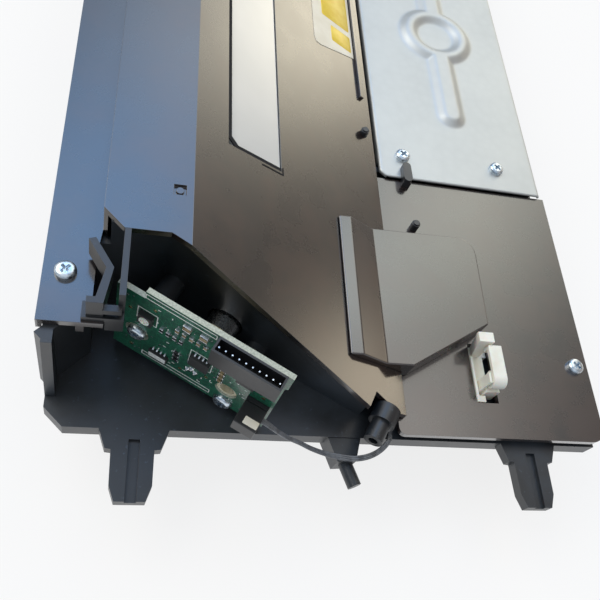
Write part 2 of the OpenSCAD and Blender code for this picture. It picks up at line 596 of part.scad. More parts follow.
// ---- Laser driver board ----
hole_r = 3.5;
notch_r = 3.15;
hole_2 = [board_l - 14.1, 9.6];
pin_r = 0.23;
lead_pins = [[-1.27, 0], [1.27, 0], [0, 1.27]];
header_u = board_l - 21.1;
header_w = pin_count * pin_pitch + 0.4;
sync_u = board_l - 7.8;
module driver_board() color("#2f5a3a") seated() on_board() difference() {
  translate([0, board_t, 0]) rotate([90, 0, 0]) linear_extrude(board_t) polygon([[0, 0],
    [board_l, 0], [board_l, board_h - 7.4], [board_l + 0.8, board_h - 6.6], [board_l + 0.8, board_h],
    [8.4, board_h], [8.4, board_h - 3.6], [0, board_h - 3.6]]);
  for (p = [screw_1, hole_2]) translate([p[0], -1, p[1]]) rotate([-90, 0, 0])
    cylinder(r = p == screw_1 ? hole_r + 0.3 : hole_r, h = 9);
  translate([screw_2[0], -1, screw_2[1]]) rotate([-90, 0, 0]) cylinder(r = notch_r, h = 9);
  for (p = lead_pins) translate([laser_u + p[0], -1, laser_h + p[1]]) rotate([-90, 0, 0])
    cylinder(r = 0.75, h = 9, $fn = 16);
  for (i = [0:pin_count - 1]) translate([header_u + 1.2 + i * pin_pitch, -1, board_h - 4.4]) rotate([-90, 0, 0])
    cylinder(r = 0.45, h = 9, $fn = 16);
}
collar_y = 0.5;
module board_screws() color("#c4c9cf") seated() on_board()
  for (p = [screw_1, screw_2]) translate([p[0], collar_y, p[1]]) rotate([90, 0, 0]) pan_screw(13);
header_d = 4.7;
header_h = 7.6;
header_h0 = board_h - header_h;
module board_header() color("#15161a") seated() on_board() difference() {
  span([header_u, -header_d, header_h0], [header_u + header_w, 0, board_h + 0.1]);
  span([header_u + 0.6, -header_d + 0.6, header_h0 + 1.4], [header_u + header_w - 0.6, -0.7, board_h + 1]);
  for (i = [0:pin_count - 1]) translate([header_u + 1.2 + i * pin_pitch, -header_d / 2, header_h0 - 1])
    cylinder(r = pin_r + 0.02, h = 9, $fn = 16);
}
module header_pins() color("#d8c88a") seated() on_board() for (i = [0:pin_count - 1])
  translate([header_u + 1.2 + i * pin_pitch, -header_d / 2, header_h0 - 0.5]) {
    cylinder(r = pin_r, h = 7, $fn = 16);
    translate([0, 0, 0.02]) rotate([-90, 0, 0]) cylinder(r = pin_r, h = 0.01, $fn = 16);
  }
sync_h0 = 9.7;
sync_h1 = 15.4;
module sync_header() color("#1a1b1f") seated() on_board() difference() {
  span([sync_u, -4, sync_h0], [sync_u + 7, 0, sync_h1]);
  difference() {
    span([sync_u - 1, -5, sync_h0 - 1], [sync_u + 8, -1.4, sync_h1 + 1]);
    span([sync_u + 1.4, -6, sync_h0 + 1.4], [sync_u + 5.6, 1, sync_h1 - 1.4]);
  }
}
module sync_plug() color("#24252a") seated() on_board() difference() {
  span([sync_u, -8.8, sync_h0], [sync_u + 7, -1.45, sync_h1]);
  span([sync_u + 1.35, -4.05, sync_h0 + 1.35], [sync_u + 5.65, 1, sync_h1 - 1.35]);
}
module board_chips() color("#17181b") seated() on_board() {
  span([24.7, -1.7, 15.6], [30.8, 0, 20.4]);
  span([12.2, -1.2, 5.2], [18.2, 0, 9]);
  span([39, -1.1, 20.4], [44.6, 0, 24.4]);
}
module board_small_parts() color("#b9b4a4") seated() on_board() {
  for (i = [0:5]) span([18.5 + 2.2 * i, -0.6, 26.2], [19.7 + 2.2 * i, 0, 28.2]);
  for (i = [0:3]) span([14 + 2.1 * i, -0.6, 21.6], [15.2 + 2.1 * i, 0, 23.6]);
  for (i = [0:3]) span([33.6, -0.6, 13.2 + 2.3 * i], [35.6, 0, 14.4 + 2.3 * i]);
  for (i = [0:2]) span([19.4, -0.6, 10 + 2.2 * i], [21.4, 0, 11.2 + 2.2 * i]);
  for (i = [0:2]) span([45 + 1.9 * i, -0.5, 3.6], [46 + 1.9 * i, 0, 5.6]);
  for (i = [0:3]) span([39.4 + 2.1 * i, -0.5, 26.2], [40.6 + 2.1 * i, 0, 28]);
  for (u = [20.5, 25.6]) span([u, -1, 30.6], [u + 2.4, 0, 33.4]);
}
trimmer_u = 9.8;
trimmer_h = 25;
module trimmer_body() color("#c9c2b4") seated() on_board() difference() {
  span([trimmer_u - 2.2, -1.7, trimmer_h - 2.2], [trimmer_u + 2.2, 0, trimmer_h + 2.2]);
  translate([trimmer_u, 0, trimmer_h]) rotate([90, 0, 0]) cylinder(r = 1.6, h = 3);
}
module trimmer_rotor() color("#cfd3d6") seated() on_board()
  translate([trimmer_u, -0.06, trimmer_h]) rotate([90, 0, 0]) difference() {
    union() {
      cylinder(r = 1.55, h = 1.9);
    }
    translate([0, 0, 1.9]) cube([2.3, 0.6, 1], center = true);
    translate([0, 0, 1.9]) cube([0.6, 2.3, 1], center = true);
  }

// ---- Laser ----
can_r = 2.8;
lens_s = 21;
module laser_holder() color("#d9d2bd") seated() {
  difference() {
    union() {
      on_board() {
        span([3, holder_y0, -1], [board_l - 7, holder_y1, 17.6]);
        for (p = [screw_1, screw_2]) translate([p[0], collar_y, p[1]]) rotate([-90, 0, 0])
          cylinder(r = notch_r - 0.15, h = holder_y1 - collar_y);
        translate([hole_2[0], collar_y, hole_2[1]]) rotate([-90, 0, 0]) cylinder(r = hole_r - 0.2, h = 5);
      }
      on_beam(holder_y0 + 1) rotate([0, 90, 0]) cylinder(r = barrel_r + 2.2, h = 9);
    }
    on_beam(0) rotate([0, 90, 0]) {
      cylinder(r = can_r + 0.05, h = 8.1);
      cylinder(r = can_r - 0.6, h = 30);
      translate([0, 0, 8.1]) cylinder(r = barrel_r + 0.02, h = 30);
    }
    on_board() {
      for (p = [screw_1, screw_2]) translate([p[0], -1, p[1]]) rotate([-90, 0, 0])
        cylinder(r = screw_d / 2 + 0.1, h = 12, $fn = 24);
      translate([hole_2[0], -1, hole_2[1]]) rotate([-90, 0, 0]) cylinder(r = 2.3, h = 5);
      span([0, -1, -5], [board_l, collar_y + 40, -1]);
    }
  }
}
module laser_diode() color("#caa75a") seated() {
  on_beam(0) rotate([0, 90, 0]) {
    translate([0, 0, 4.4]) cylinder(r = can_r, h = 1.2);
    translate([0, 0, 5.5]) cylinder(r = can_r - 0.7, h = 2.4);
  }
  on_board() for (p = lead_pins) translate([laser_u + p[0], -0.7, laser_h + p[1]]) rotate([-90, 0, 0])
    cylinder(r = pin_r, h = 5.4, $fn = 16);
}
module collimator_barrel() color("#b9bcc0") seated() on_beam(8.2) rotate([0, 90, 0]) difference() {
  cylinder(r = barrel_r, h = 17);
  translate([0, 0, -1]) cylinder(r = 2.6, h = 30);
  translate([0, 0, lens_s - 8.2]) cylinder(r = 3.6, h = 30);
}
module collimator_lens() color("#dfe6ea") seated() on_beam(lens_s + 0.02) rotate([0, 90, 0]) cylinder(r = 3.55, h = 2.4);
module on_plate_beam() translate([laser_x, laser_y, 0]) rotate([0, 0, 90 - board_angle]) children();
cyl_s = 31;
cyl_z = beam_height(cyl_s);
module cylinder_lens_mount() color("#1d1f22") seated() on_plate_beam() difference() {
  union() {
    span([cyl_s - 4, -6, 0], [cyl_s + 2, 6, 1.6]);
    span([cyl_s - 1.6, -6, 1.5], [cyl_s + 2, 6, cyl_z + 5.6]);
  }
  span([cyl_s - 3, -3, cyl_z - 3], [cyl_s + 5, 3, cyl_z + 3]);
  span([cyl_s - 2, -4.55, cyl_z - 4.55], [cyl_s + 0.4, 4.55, cyl_z + 7]);
}
module cylinder_lens() color("#dfe6ea") seated() on_plate_beam() difference() {
  span([cyl_s - 1.9, -4.5, cyl_z - 4.5], [cyl_s + 0.35, 4.5, cyl_z + 4.5]);
  translate([cyl_s - 12.6, 0, cyl_z]) rotate([90, 0, 0]) difference() {
    translate([0, 0, -6]) cube([20, 40, 40], center = true);
    translate([0, 0, -30]) cylinder(r = 12.4, h = 60);
    translate([0, 0, -30]) span([11.5, -10, 0], [30, 10, 60]);
  }
}

// ---- Scanner motor ----
board_top = motor_board_z + board_t;
sleeve_r = 4;
hub_r = hub_d / 2;
hub_disc = beam_z - mirror_t / 2 - 4.7;
pilot_r = 4;
module on_motor() translate([motor_x, mid_y, 0]) children();
module motor_board() color("#2f5a3a") seated() on_motor() difference() {
  span([-20, -22, motor_board_z], [23, 22, board_top]);
  cylinder(r = sleeve_r + 0.02, h = 80, center = true);
  for (p = motor_post) translate(concat(p, [-40])) cylinder(r = screw_d / 2 + screw_gap, h = 80);
}
module motor_chip() color("#17181b") seated() on_motor() span([-5, 15, board_top], [5, 20, board_top + 1.5]);
module motor_connector() color("#efece2") seated() on_motor() difference() {
  span([-7, -21.5, board_top], [7, -15.6, board_top + 5]);
  span([-6.2, -20.8, board_top + 1.2], [6.2, -16.4, board_top + 9]);
}
module motor_bearing() color("#b08d57") seated() on_motor() difference() {
  union() {
    translate([0, 0, board_top - 5.2]) cylinder(r = sleeve_r, h = 11.4);
    translate([0, 0, board_top]) cylinder(r = sleeve_r + 2.4, h = 1);
  }
  translate([0, 0, board_top - 4.4]) cylinder(r = shaft_d / 2 + shaft_gap, h = 30);
}
core_z = board_top + 1;
core_r = hub_r - 2.6;
module motor_stator() color("#8b8f94") seated() on_motor() {
  translate([0, 0, core_z]) difference() {
    cylinder(r = 6.2, h = 4.4);
    translate([0, 0, -1]) cylinder(r = sleeve_r + 0.03, h = 9);
  }
  for (k = [0:5]) rotate([0, 0, 60 * k]) {
    span([5.5, -0.9, core_z + 0.7], [core_r - 1, 0.9, core_z + 3.7]);
    intersection() {
      span([core_r - 1.2, -2.8, core_z + 0.7], [core_r + 1, 2.8, core_z + 3.7]);
      translate([0, 0, core_z]) cylinder(r = core_r, h = 5);
    }
  }
}
module motor_coils() color("#b8662f") seated() on_motor() for (k = [0:5]) rotate([0, 0, 60 * k]) difference() {
  span([6.35, -2.1, core_z + 0.1], [core_r - 1.3, 2.1, core_z + 4.4]);
  span([5, -0.95, core_z + 0.65], [core_r, 0.95, core_z + 3.75]);
}
module motor_screws() color("#c4c9cf") seated() on_motor() for (p = motor_post)
  translate(concat(p, [board_top])) pan_screw(4.6);
module motor_shaft() color("#d4d7da") seated() on_motor() translate([0, 0, board_top - 4.35])
  cylinder(d = shaft_d, h = beam_z + mirror_t / 2 + 2 - board_top + 4.35);
module rotor_hub() color("#b4b8bc") seated() on_motor() difference() {
  union() {
    translate([0, 0, hub_disc]) cylinder(r = hub_r, h = 1.7);
    translate([0, 0, hub_disc + 1.6]) cylinder(r = 8, h = 3.1);
    translate([0, 0, hub_disc - 5]) difference() {
      cylinder(r = hub_r, h = 5.1);
      translate([0, 0, -1]) cylinder(r = hub_r - 1, h = 9);
    }
    translate([0, 0, hub_disc + 4]) cylinder(r = pilot_r, h = mirror_t + 1.9);
  }
  cylinder(r = shaft_d / 2 + 0.01, h = 80, center = true);
}
module rotor_magnet() color("#33363b") seated() on_motor() translate([0, 0, hub_disc - 4.8]) difference() {
  cylinder(r = hub_r - 1.03, h = 4.8);
  translate([0, 0, -1]) cylinder(r = hub_r - 2.1, h = 9);
}
module polygon_mirror() color("#e4e7ea") seated() on_motor() translate([0, 0, beam_z - mirror_t / 2]) difference() {
  cylinder(r = mirror_af / 2 / cos(30), h = mirror_t, $fn = 6);
  translate([0, 0, -1]) cylinder(r = pilot_r + 0.03, h = 20);
}
module mirror_spring() color("#c9ccd0") seated() on_motor() translate([0, 0, beam_z + mirror_t / 2]) difference() {
  cylinder(r = 7, h = 0.5);
  translate([0, 0, -1]) cylinder(r = pilot_r + 0.03, h = 9);
  for (k = [0:2]) rotate([0, 0, 120 * k]) translate([5.2, -0.8, -1]) cube([4, 1.6, 9]);
}

// ---- Scan lenses and mirrors ----
module scan_lens(lens, t, bulge) difference() {
  union() {
    translate([lens[0], mid_y, lens_z]) linear_extrude(lens_h) polygon(concat(
      [for (i = [0:16]) let (v = -1 + i / 8) [-t / 2 - bulge * (1 - v * v), -v * (lens[1] - 5)]],
      [for (i = [0:16]) let (v = -1 + i / 8) [t / 2 + bulge * 0.35 * (1 - v * v), v * (lens[1] - 5)]]));
    for (s = [-1, 1]) translate([lens[0] - 2, mid_y + s * (lens[1] - 3) - 3, lens_z]) cube([4, 6, lens_h]);
  }
}
module scan_lens_front() color("#e3ebe4") seated() scan_lens(lens_front, 4, 3);
module scan_lens_rear() color("#e3ebe4") seated() scan_lens(lens_rear, 4, 2.4);
module lens_clips() color("#c7cbcf") seated() for (lens = [lens_front, lens_rear], s = [-1, 1])
  translate([lens[0] - 2.5, mid_y, lens_z + lens_h]) {
    translate([0, s > 0 ? lens[1] - 4 : -lens[1] - 3.4, 0]) cube([5, 7.4, 0.5]);
    translate([0, s > 0 ? lens[1] + 2.9 : -lens[1] - 3.4, -7]) cube([5, 0.5, 7.2]);
  }
module fold_mirror() color("#cfd6da") seated() on_fold()
  span([-fold_t, -fold_half, -fold_w / 2], [0, fold_half, fold_w / 2]);
module mirror_clips() color("#c7cbcf") seated() {
  mirror_clip(0);
  on_fold() for (s = [-1, 1]) translate([0, s * (fold_half - 4), 0])
    span([-fold_t, -2.5, fold_w / 2 + 0.02], [clip_t, 2.5, fold_w / 2 + 0.5]);
}
module sync_mirror() color("#cfd6da") seated() translate([pivot_mirror[0], pivot_mirror[1], beam_z - 4])
  rotate([0, 0, -30]) span([-3, -1.2, 0], [3, 1.2, 8]);
module sync_board() color("#2f5a3a") seated() on_board()
  span([sync_u0, sync_y, -board_z], [sync_u0 + sync_w, sync_y + sync_t, -board_z + 7.6]);
module sync_sensor() color("#202226") seated() on_board()
  span([sync_u0 + 4.6, sync_y + sync_t, -board_z + 2.4], [sync_u0 + 9, sync_y + sync_t + 1.3, -board_z + 5.8]);

// ---- Sync lead, from the plug over the bracket to the sync board ----
lead_d = 1.8;
lead_start = [61.87, -0.93, 14.4];
lead_points = [lead_start, [64.2, -2.2, 13.9], [67.2, -3.2, 11.8], [70.6, -4, 9.4], [74.6, -4.6, 7.1],
  [78.6, -5.7, 5.5], [83, -6.6, 4.2], [87.6, -7.2, 3.4], [92.6, -7.5, 3], [97.4, -6.6, 3], [101.4, -4.5, 3.2],
  [104.4, -1.4, 3.1], [105.5, 1.9, 2.1], [107, 5.2, 1.1], [109.8, 8.6, 1.05], [110.5, 12.2, 1.05], [108.7, 15.9, 1],
  [105.4, 18.35, 2], [103.4, 19.5, 3.35], [101.72, 20.49, 3.5]];
// Catmull-Rom through the points
function lead_at(i, t) = let (n = len(lead_points) - 1, p0 = lead_points[max(i - 1, 0)], p1 = lead_points[i],
  p2 = lead_points[min(i + 1, n)], p3 = lead_points[min(i + 2, n)])
  0.5 * (2 * p1 + (p2 - p0) * t + (2 * p0 - 5 * p1 + 4 * p2 - p3) * t * t
    + (3 * p1 - p0 - 3 * p2 + p3) * t * t * t);
lead_path = concat([for (i = [0:len(lead_points) - 2]) for (t = [0, 0.5]) lead_at(i, t)],
  [lead_points[len(lead_points) - 1]]);
module sync_lead() color("#8d8f92") seated() {
  n = len(lead_path);
  sides = 8;
  ring = [for (i = [0:n - 1]) let (a = lead_path[max(i - 1, 0)], b = lead_path[min(i + 1, n - 1)],
    d = (b - a) / norm(b - a), e = cross([0, 0, 1], d) / norm(cross([0, 0, 1], d)), f = cross(d, e))
    for (k = [0:sides - 1]) lead_path[i] + lead_d / 2 * (e * cos(360 * k / sides) + f * sin(360 * k / sides))];
  polyhedron(ring, concat(
    [[for (k = [sides - 1:-1:0]) k]],
    [for (i = [0:n - 2]) for (k = [0:sides - 1]) let (j = (k + 1) % sides)
      each [[i * sides + k, i * sides + j, (i + 1) * sides + j], [i * sides + k, (i + 1) * sides + j, (i + 1) * sides + k]]],
    [[for (k = [0:sides - 1]) (n - 1) * sides + k]]));
}

base_plate();
optics_tub();
housing_walls();
bay_frame();
upper_cover();
deck_cover();
rear_deck_cover();
motor_cover();
connector_hood();
dust_glass();
glass_seal();
motor_bay_seal();
harness_hook();
wire_saddle();
saddle_latch();
cover_clip();
locating_pegs();
edge_rail();
blank_label();
cover_screws();
driver_board();
board_screws();
board_header();
header_pins();
sync_header();
sync_plug();
board_chips();
board_small_parts();
trimmer_body();
trimmer_rotor();
laser_holder();
laser_diode();
collimator_barrel();
collimator_lens();
cylinder_lens_mount();
cylinder_lens();
motor_board();
motor_chip();
motor_connector();
motor_bearing();
motor_stator();
motor_coils();
motor_screws();
motor_shaft();
rotor_hub();
rotor_magnet();
polygon_mirror();
mirror_spring();
scan_lens_front();
scan_lens_rear();
lens_clips();
fold_mirror();
mirror_clips();
sync_mirror();
sync_board();
sync_sensor();
sync_lead();
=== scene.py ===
# %% [markdown]
# # A laser scanning unit and its finishes
# A laser scanning unit is the closed box in an office printer that sweeps a laser beam across the
# drum. The CAD frame gives each moulding, screw and lens its exact place. This script adds what the
# frame leaves out: softened edges, the finish of each material, solder, wires and studio light.

# %% Load the CAD frame
import json
import math

import bmesh
import bpy
import numpy as np
from mathutils import Matrix, Vector


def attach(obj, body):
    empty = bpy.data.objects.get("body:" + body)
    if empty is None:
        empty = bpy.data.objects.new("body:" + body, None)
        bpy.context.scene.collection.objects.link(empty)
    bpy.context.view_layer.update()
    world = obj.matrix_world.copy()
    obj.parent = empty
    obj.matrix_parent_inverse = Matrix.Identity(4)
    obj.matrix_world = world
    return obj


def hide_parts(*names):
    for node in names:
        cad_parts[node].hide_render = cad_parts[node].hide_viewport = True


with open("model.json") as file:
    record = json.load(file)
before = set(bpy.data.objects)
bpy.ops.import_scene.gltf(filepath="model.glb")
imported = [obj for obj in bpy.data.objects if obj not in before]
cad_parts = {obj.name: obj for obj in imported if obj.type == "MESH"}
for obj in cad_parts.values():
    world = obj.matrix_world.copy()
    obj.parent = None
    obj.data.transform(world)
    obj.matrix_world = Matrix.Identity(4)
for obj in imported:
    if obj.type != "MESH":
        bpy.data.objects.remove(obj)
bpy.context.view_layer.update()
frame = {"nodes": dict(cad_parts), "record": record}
NODES = frame["nodes"]
print(len(NODES), "CAD nodes loaded")

# %% [markdown]
# ## The camera
# A short lens held close above the front corner makes the far end of the unit narrow quickly. A
# camera can be turned by Euler angles, but three unit vectors, right, up and forward, are easier to
# check, because each says where one edge of the view points.

# %% Camera
scene = bpy.context.scene
RIGHT = Vector((0.96594, -0.04542, 0.25475))
UP = Vector((-0.08513, 0.87391, 0.47857))
FORWARD = Vector((0.24437, 0.48396, -0.84028))
CAMERA_PLACE = Vector((-0.07035, -0.2541, 0.228))
camera_data = bpy.data.cameras.new("camera")
camera_data.lens = 42.2
camera_data.sensor_width = 36
camera_data.clip_start = 0.01
camera = bpy.data.objects.new("camera", camera_data)
turn = Matrix((RIGHT, UP, -FORWARD)).transposed().to_4x4()
camera.matrix_world = Matrix.Translation(CAMERA_PLACE) @ turn
scene.collection.objects.link(camera)
scene.camera = camera
print("camera", round(CAMERA_PLACE.length * 1000), "mm from the middle of the base")

# %% [markdown]
# ## Three measuring frames
# A maker measures from a corner, not from the middle of the part. `bench` counts millimetres from
# the front left corner of the base plate, `board` lies flat on the driver board, and `slope` lies
# flat on the sloping cover. Each takes a whole array of points and gives the part's own metres.

# %% Measuring frames
WIDTH, LENGTH, TUB = 182.3, 373.0, 28.0
BOARD_TURN, BOARD_CORNER = math.radians(30), (19.3, 27, 3)
U_AXIS = np.array((math.cos(BOARD_TURN), -math.sin(BOARD_TURN), 0.0))
OUT_AXIS = np.array((-math.sin(BOARD_TURN), -math.cos(BOARD_TURN), 0.0))
RIDGE_X, FLAT_TOP = 37.5, 44.0
FOOT_X, FOOT_Z = 109.6, 6.99
FALL = math.atan2(FLAT_TOP - FOOT_Z, FOOT_X - RIDGE_X)


def bench(points):
    """Bench millimetres to metres: less half the footprint, plus the tub's depth, over 1000."""
    return (np.asarray(points, dtype=float) + (-WIDTH / 2, -LENGTH / 2, TUB)) / 1000


def board(points):
    """(u, h, out) on the driver board: corner + u along it + h upwards + out in front of it."""
    u, h, out = np.moveaxis(np.asarray(points, dtype=float), -1, 0)[..., None]
    return bench(BOARD_CORNER + u * U_AXIS + out * OUT_AXIS + h * np.array((0, 0, 1.0)))


def slope(points):
    """(u, y, w) on the sloping cover: u down the slope from the ridge, w straight out of it."""
    u, y, w = np.moveaxis(np.asarray(points, dtype=float), -1, 0)
    return bench(np.stack([RIDGE_X + u * math.cos(FALL) + w * math.sin(FALL), y,
                           FLAT_TOP - u * math.sin(FALL) + w * math.cos(FALL)], axis=-1))


def body_of(node_name):
    """The body that carries a node, so that a new piece can ride the same one."""
    bodies = frame["record"]["behaviour"]["bodies"]
    return next(body for body, names in bodies.items() if node_name in names)


print("the slope falls", round(math.degrees(FALL), 1), "degrees")

# %% [markdown]
# ## Surfaces from arrays
# A surface is a grid of points: rows one way, columns the other. Numpy works the whole grid out at
# once, and only then does it become a mesh. `grid` knows how the corners join, so each later shape
# is just a formula for its points.

# %% Grid and piece
def grid(points, wrap_rows=False, wrap_columns=False, cap=False):
    """Quads over points shaped (rows, columns, 3): corner (i, j) with its right, diagonal and next.

    A wrapped direction joins its last line to its first. cap closes the first and last rows.
    """
    rows, columns = points.shape[:2]
    index = np.arange(rows * columns).reshape(rows, columns)
    if wrap_rows:
        index = np.vstack([index, index[:1]])
    if wrap_columns:
        index = np.hstack([index, index[:, :1]])
    quads = np.stack([index[:-1, :-1], index[:-1, 1:], index[1:, 1:], index[1:, :-1]], axis=-1)
    faces = quads.reshape(-1, 4).tolist()
    if cap:
        ring = np.arange(columns)
        faces += [ring[::-1].tolist(), (ring + (rows - 1) * columns).tolist()]
    return points.reshape(-1, 3), faces


def piece(name, surfaces, materials, body="unit", sharp=35):
    """One mesh object from a list of (surface, material number), riding on a body."""
    starts = np.cumsum([0] + [len(points) for (points, _), _ in surfaces])
    faces = [[corner + int(start) for corner in face]
             for start, ((_, own), _) in zip(starts, surfaces) for face in own]
    mesh = bpy.data.meshes.new(name)
    mesh.from_pydata(np.concatenate([points for (points, _), _ in surfaces]), [], faces)
    for finish in materials:
        mesh.materials.append(finish)
    numbers = np.repeat([number for _, number in surfaces], [len(own) for (_, own), _ in surfaces])
    mesh.polygons.foreach_set("material_index", numbers.astype(np.int32))
    mesh.shade_smooth()
    mesh.set_sharp_from_angle(angle=math.radians(sharp))
    obj = bpy.data.objects.new(name, mesh)
    scene.collection.objects.link(obj)
    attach(obj, body)
    print(name, len(faces), "faces")
    return obj


print(len(grid(np.zeros((3, 4, 3)))[1]), "faces over 3 rows of 4 points")

# %% [markdown]
# ## Rounded blocks
# Chips, resistors and print are blocks with soft corners. A cube with a bevel would do for one; an
# outline carried up in levels is one formula for all, about its own origin, its height along z.

# %% Outline and block
def outline(width, height, radius, corner=4):
    """A rounded rectangle, anticlockwise: a quarter circle of the radius at each corner."""
    angle = (np.linspace(0, math.pi / 2, corner) + np.arange(4)[:, None] * math.pi / 2).ravel()
    middle = np.repeat([(1, 1), (-1, 1), (-1, -1), (1, -1)], corner, axis=0)
    middle = middle * (width / 2 - radius, height / 2 - radius)
    return middle + radius * np.column_stack([np.cos(angle), np.sin(angle)])


def block(width, height, depth, radius=0.15, soft=0.1):
    """The outline carried up in four levels; the last two draw in round a quarter circle."""
    base = outline(width, height, radius)
    levels = ((0, 0), (depth - soft, 0), (depth - 0.3 * soft, 0.3 * soft), (depth, soft))
    rows = [np.column_stack([base * (1 - 2 * inset / width, 1 - 2 * inset / height),
                             np.full(len(base), z)]) for z, inset in levels]
    return np.stack(rows)


print("a block has", block(1, 1, 1).shape[0], "rows of", block(1, 1, 1).shape[1], "points")


# %% [markdown]
# ## Turned pieces, frames and strips
# Solder joints and pads are turned on an axis, print comes as flat frames, and foam as flat strips.
# A curve object with a bevel draws a strip too, but its corners change the width; here each corner
# lies on the line that halves the bend, so the width stays even.

# %% Turned, border, strip and spun
def turned(radii, heights, sides=14):
    """A turned piece: each row is a circle of its own radius at its own height."""
    angle = np.linspace(0, 2 * math.pi, sides, endpoint=False)
    radii, heights = (np.asarray(line, dtype=float)[:, None] for line in (radii, heights))
    return np.stack([radii * np.cos(angle), radii * np.sin(angle),
                     np.broadcast_to(heights, (len(radii), sides))], axis=-1)


def border(width, height, line, lift=0.05):
    """A flat frame: outer edge up, across to the inner edge, and down again."""
    outer, inner = outline(width, height, 0.25), outline(width - 2 * line, height - 2 * line, 0.1)
    return np.stack([np.column_stack([ring, np.full(len(ring), z)])
                     for ring, z in ((outer, 0), (outer, lift), (inner, lift), (inner, 0))])


def strip(path, width, lift):
    """A flat strip along a bent path. At a bend its edges lie on the line that halves it."""
    path = np.asarray(path, dtype=float)
    step = np.diff(path, axis=0)
    step /= np.linalg.norm(step, axis=1, keepdims=True)
    before, after = np.vstack([step[:1], step]), np.vstack([step, step[-1:]])
    normal = np.column_stack([-(before + after)[:, 1], (before + after)[:, 0]])
    normal /= np.sum(normal * np.column_stack([-after[:, 1], after[:, 0]]), axis=1, keepdims=True)
    left, right = path + normal * width / 2, path - normal * width / 2
    rows = [(left, 0), (left, lift), (right, lift), (right, 0)]
    return np.stack([np.column_stack([edge, np.full(len(edge), z)]) for edge, z in rows], axis=1)


def spun(points, degrees):
    """The points turned about the third axis."""
    c, s = math.cos(math.radians(degrees)), math.sin(math.radians(degrees))
    return points @ np.array(((c, s, 0), (-s, c, 0), (0, 0, 1)))


print("a turned piece has", turned((1, 1), (0, 1)).shape[1], "sides")

# %% [markdown]
# ## The sync lead's route
# Thin lead wires are limp: they leave the plug along its own direction, drop over the bracket and
# sag in one loose curve before they go in behind the boss to the sync board. A Bezier curve would
# need handles to be guessed; a Catmull-Rom spline passes through every point of the route, so the
# points can be read off the frame.

# %% Route of the lead
LEAD_POINTS = (
    (61.87, -0.93, 14.4), (64.2, -2.2, 13.9), (67.2, -3.2, 11.8), (70.6, -4, 9.4),
    (74.6, -4.6, 7.1), (78.6, -5.7, 5.5), (83, -6.6, 4.2), (87.6, -7.2, 3.4), (92.6, -7.5, 3),
    (97.4, -6.6, 3), (101.4, -4.5, 3.2), (104.4, -1.4, 3.1), (105.5, 1.9, 2.1), (107, 5.2, 1.1),
    (109.8, 8.6, 1.05), (110.5, 12.2, 1.05), (108.7, 15.9, 1), (105.4, 18.35, 2),
    (103.4, 19.5, 3.35), (101.72, 20.49, 3.5))


def smooth_path(points, steps):
    """Catmull-Rom: half of 2b + (c-a)t + (2a-5b+4c-d)t^2 + (3b-a-3c+d)t^3 between b and c."""
    points = np.asarray(points, dtype=float)
    padded = np.vstack([points[:1], points, points[-1:]])
    a, b, c, d = (padded[i:len(points) - 1 + i][:, None] for i in range(4))
    t = np.linspace(0, 1, steps, endpoint=False)[None, :, None]
    curve = 0.5 * (2 * b + (c - a) * t + (2 * a - 5 * b + 4 * c - d) * t ** 2
                   + (3 * b - a - 3 * c + d) * t ** 3)
    return np.vstack([curve.reshape(-1, 3), points[-1:]])


def along(path):
    """Unit tangent, side (tangent x up) and lift (side x tangent) at each point of a path."""
    tangent = np.gradient(path, axis=0)
    tangent /= np.linalg.norm(tangent, axis=1, keepdims=True)
    side = np.cross(tangent, (0, 0, 1.0))
    side /= np.linalg.norm(side, axis=1, keepdims=True)
    return tangent, side, np.cross(side, tangent)


def sweep(path, radius, sides=12):
    """A tube: at each point a circle of the radius stands on the lift and side directions."""
    _, side, lift = along(path)
    angle = np.linspace(0, 2 * math.pi, sides, endpoint=False)[None, :, None]
    return path[:, None] + radius * (np.cos(angle) * lift[:, None] + np.sin(angle) * side[:, None])


route = bench(smooth_path(LEAD_POINTS, 6))

# %% [markdown]
# ## A small kit for materials
# Each material is a tree of nodes that reads Object coordinates, so its pattern stays fixed to the
# part. `node` adds one node with its settings and links. `material` hangs a recipe's sockets on a
# Principled shader. `grain` turns a real size in millimetres into a noise scale.

# %% Colour, node, material and grain
def colour(code):
    """sRGB hex to the linear colour that a shader wants."""
    parts = [int(code[i:i + 2], 16) / 255 for i in (1, 3, 5)]
    return [c / 12.92 if c <= 0.04045 else ((c + 0.055) / 1.055) ** 2.4 for c in parts] + [1.0]


def node(tree, kind, inputs=None, **settings):
    """Adds a node. An input is a value, or the output of another node to link from."""
    made = tree.nodes.new("ShaderNode" + kind)
    for name, value in settings.items():
        setattr(made, name, value)
    for socket, value in (inputs or {}).items():
        if isinstance(value, bpy.types.NodeSocket):
            tree.links.new(value, made.inputs[socket])
        else:
            made.inputs[socket].default_value = value
    return made


def material(name, recipe, **choices):
    """A new material: the recipe adds its pattern and returns the shader's inputs."""
    made = bpy.data.materials.new(name)
    made.use_nodes = True
    tree = made.node_tree
    tree.nodes.clear()
    place = node(tree, "TexCoord").outputs["Object"]
    shader = node(tree, "BsdfPrincipled", recipe(tree, place, **choices))
    node(tree, "OutputMaterial", {"Surface": shader.outputs["BSDF"]})
    return made


def grain(size):
    """Noise scale for features about size millimetres across."""
    return 1000 / size


print("an etch 0.4 mm across is noise of scale", grain(0.4))

# %% [markdown]
# ## Moulded plastics
# The housing is glass-filled polycarbonate blend, moulded against an etched tool: matt, and dusty
# after years in a printer. The covers come from a polished tool, so they mirror the room softly and
# show haze where hands have wiped them. The etch is 0.4 mm on the real part and is kept at that.

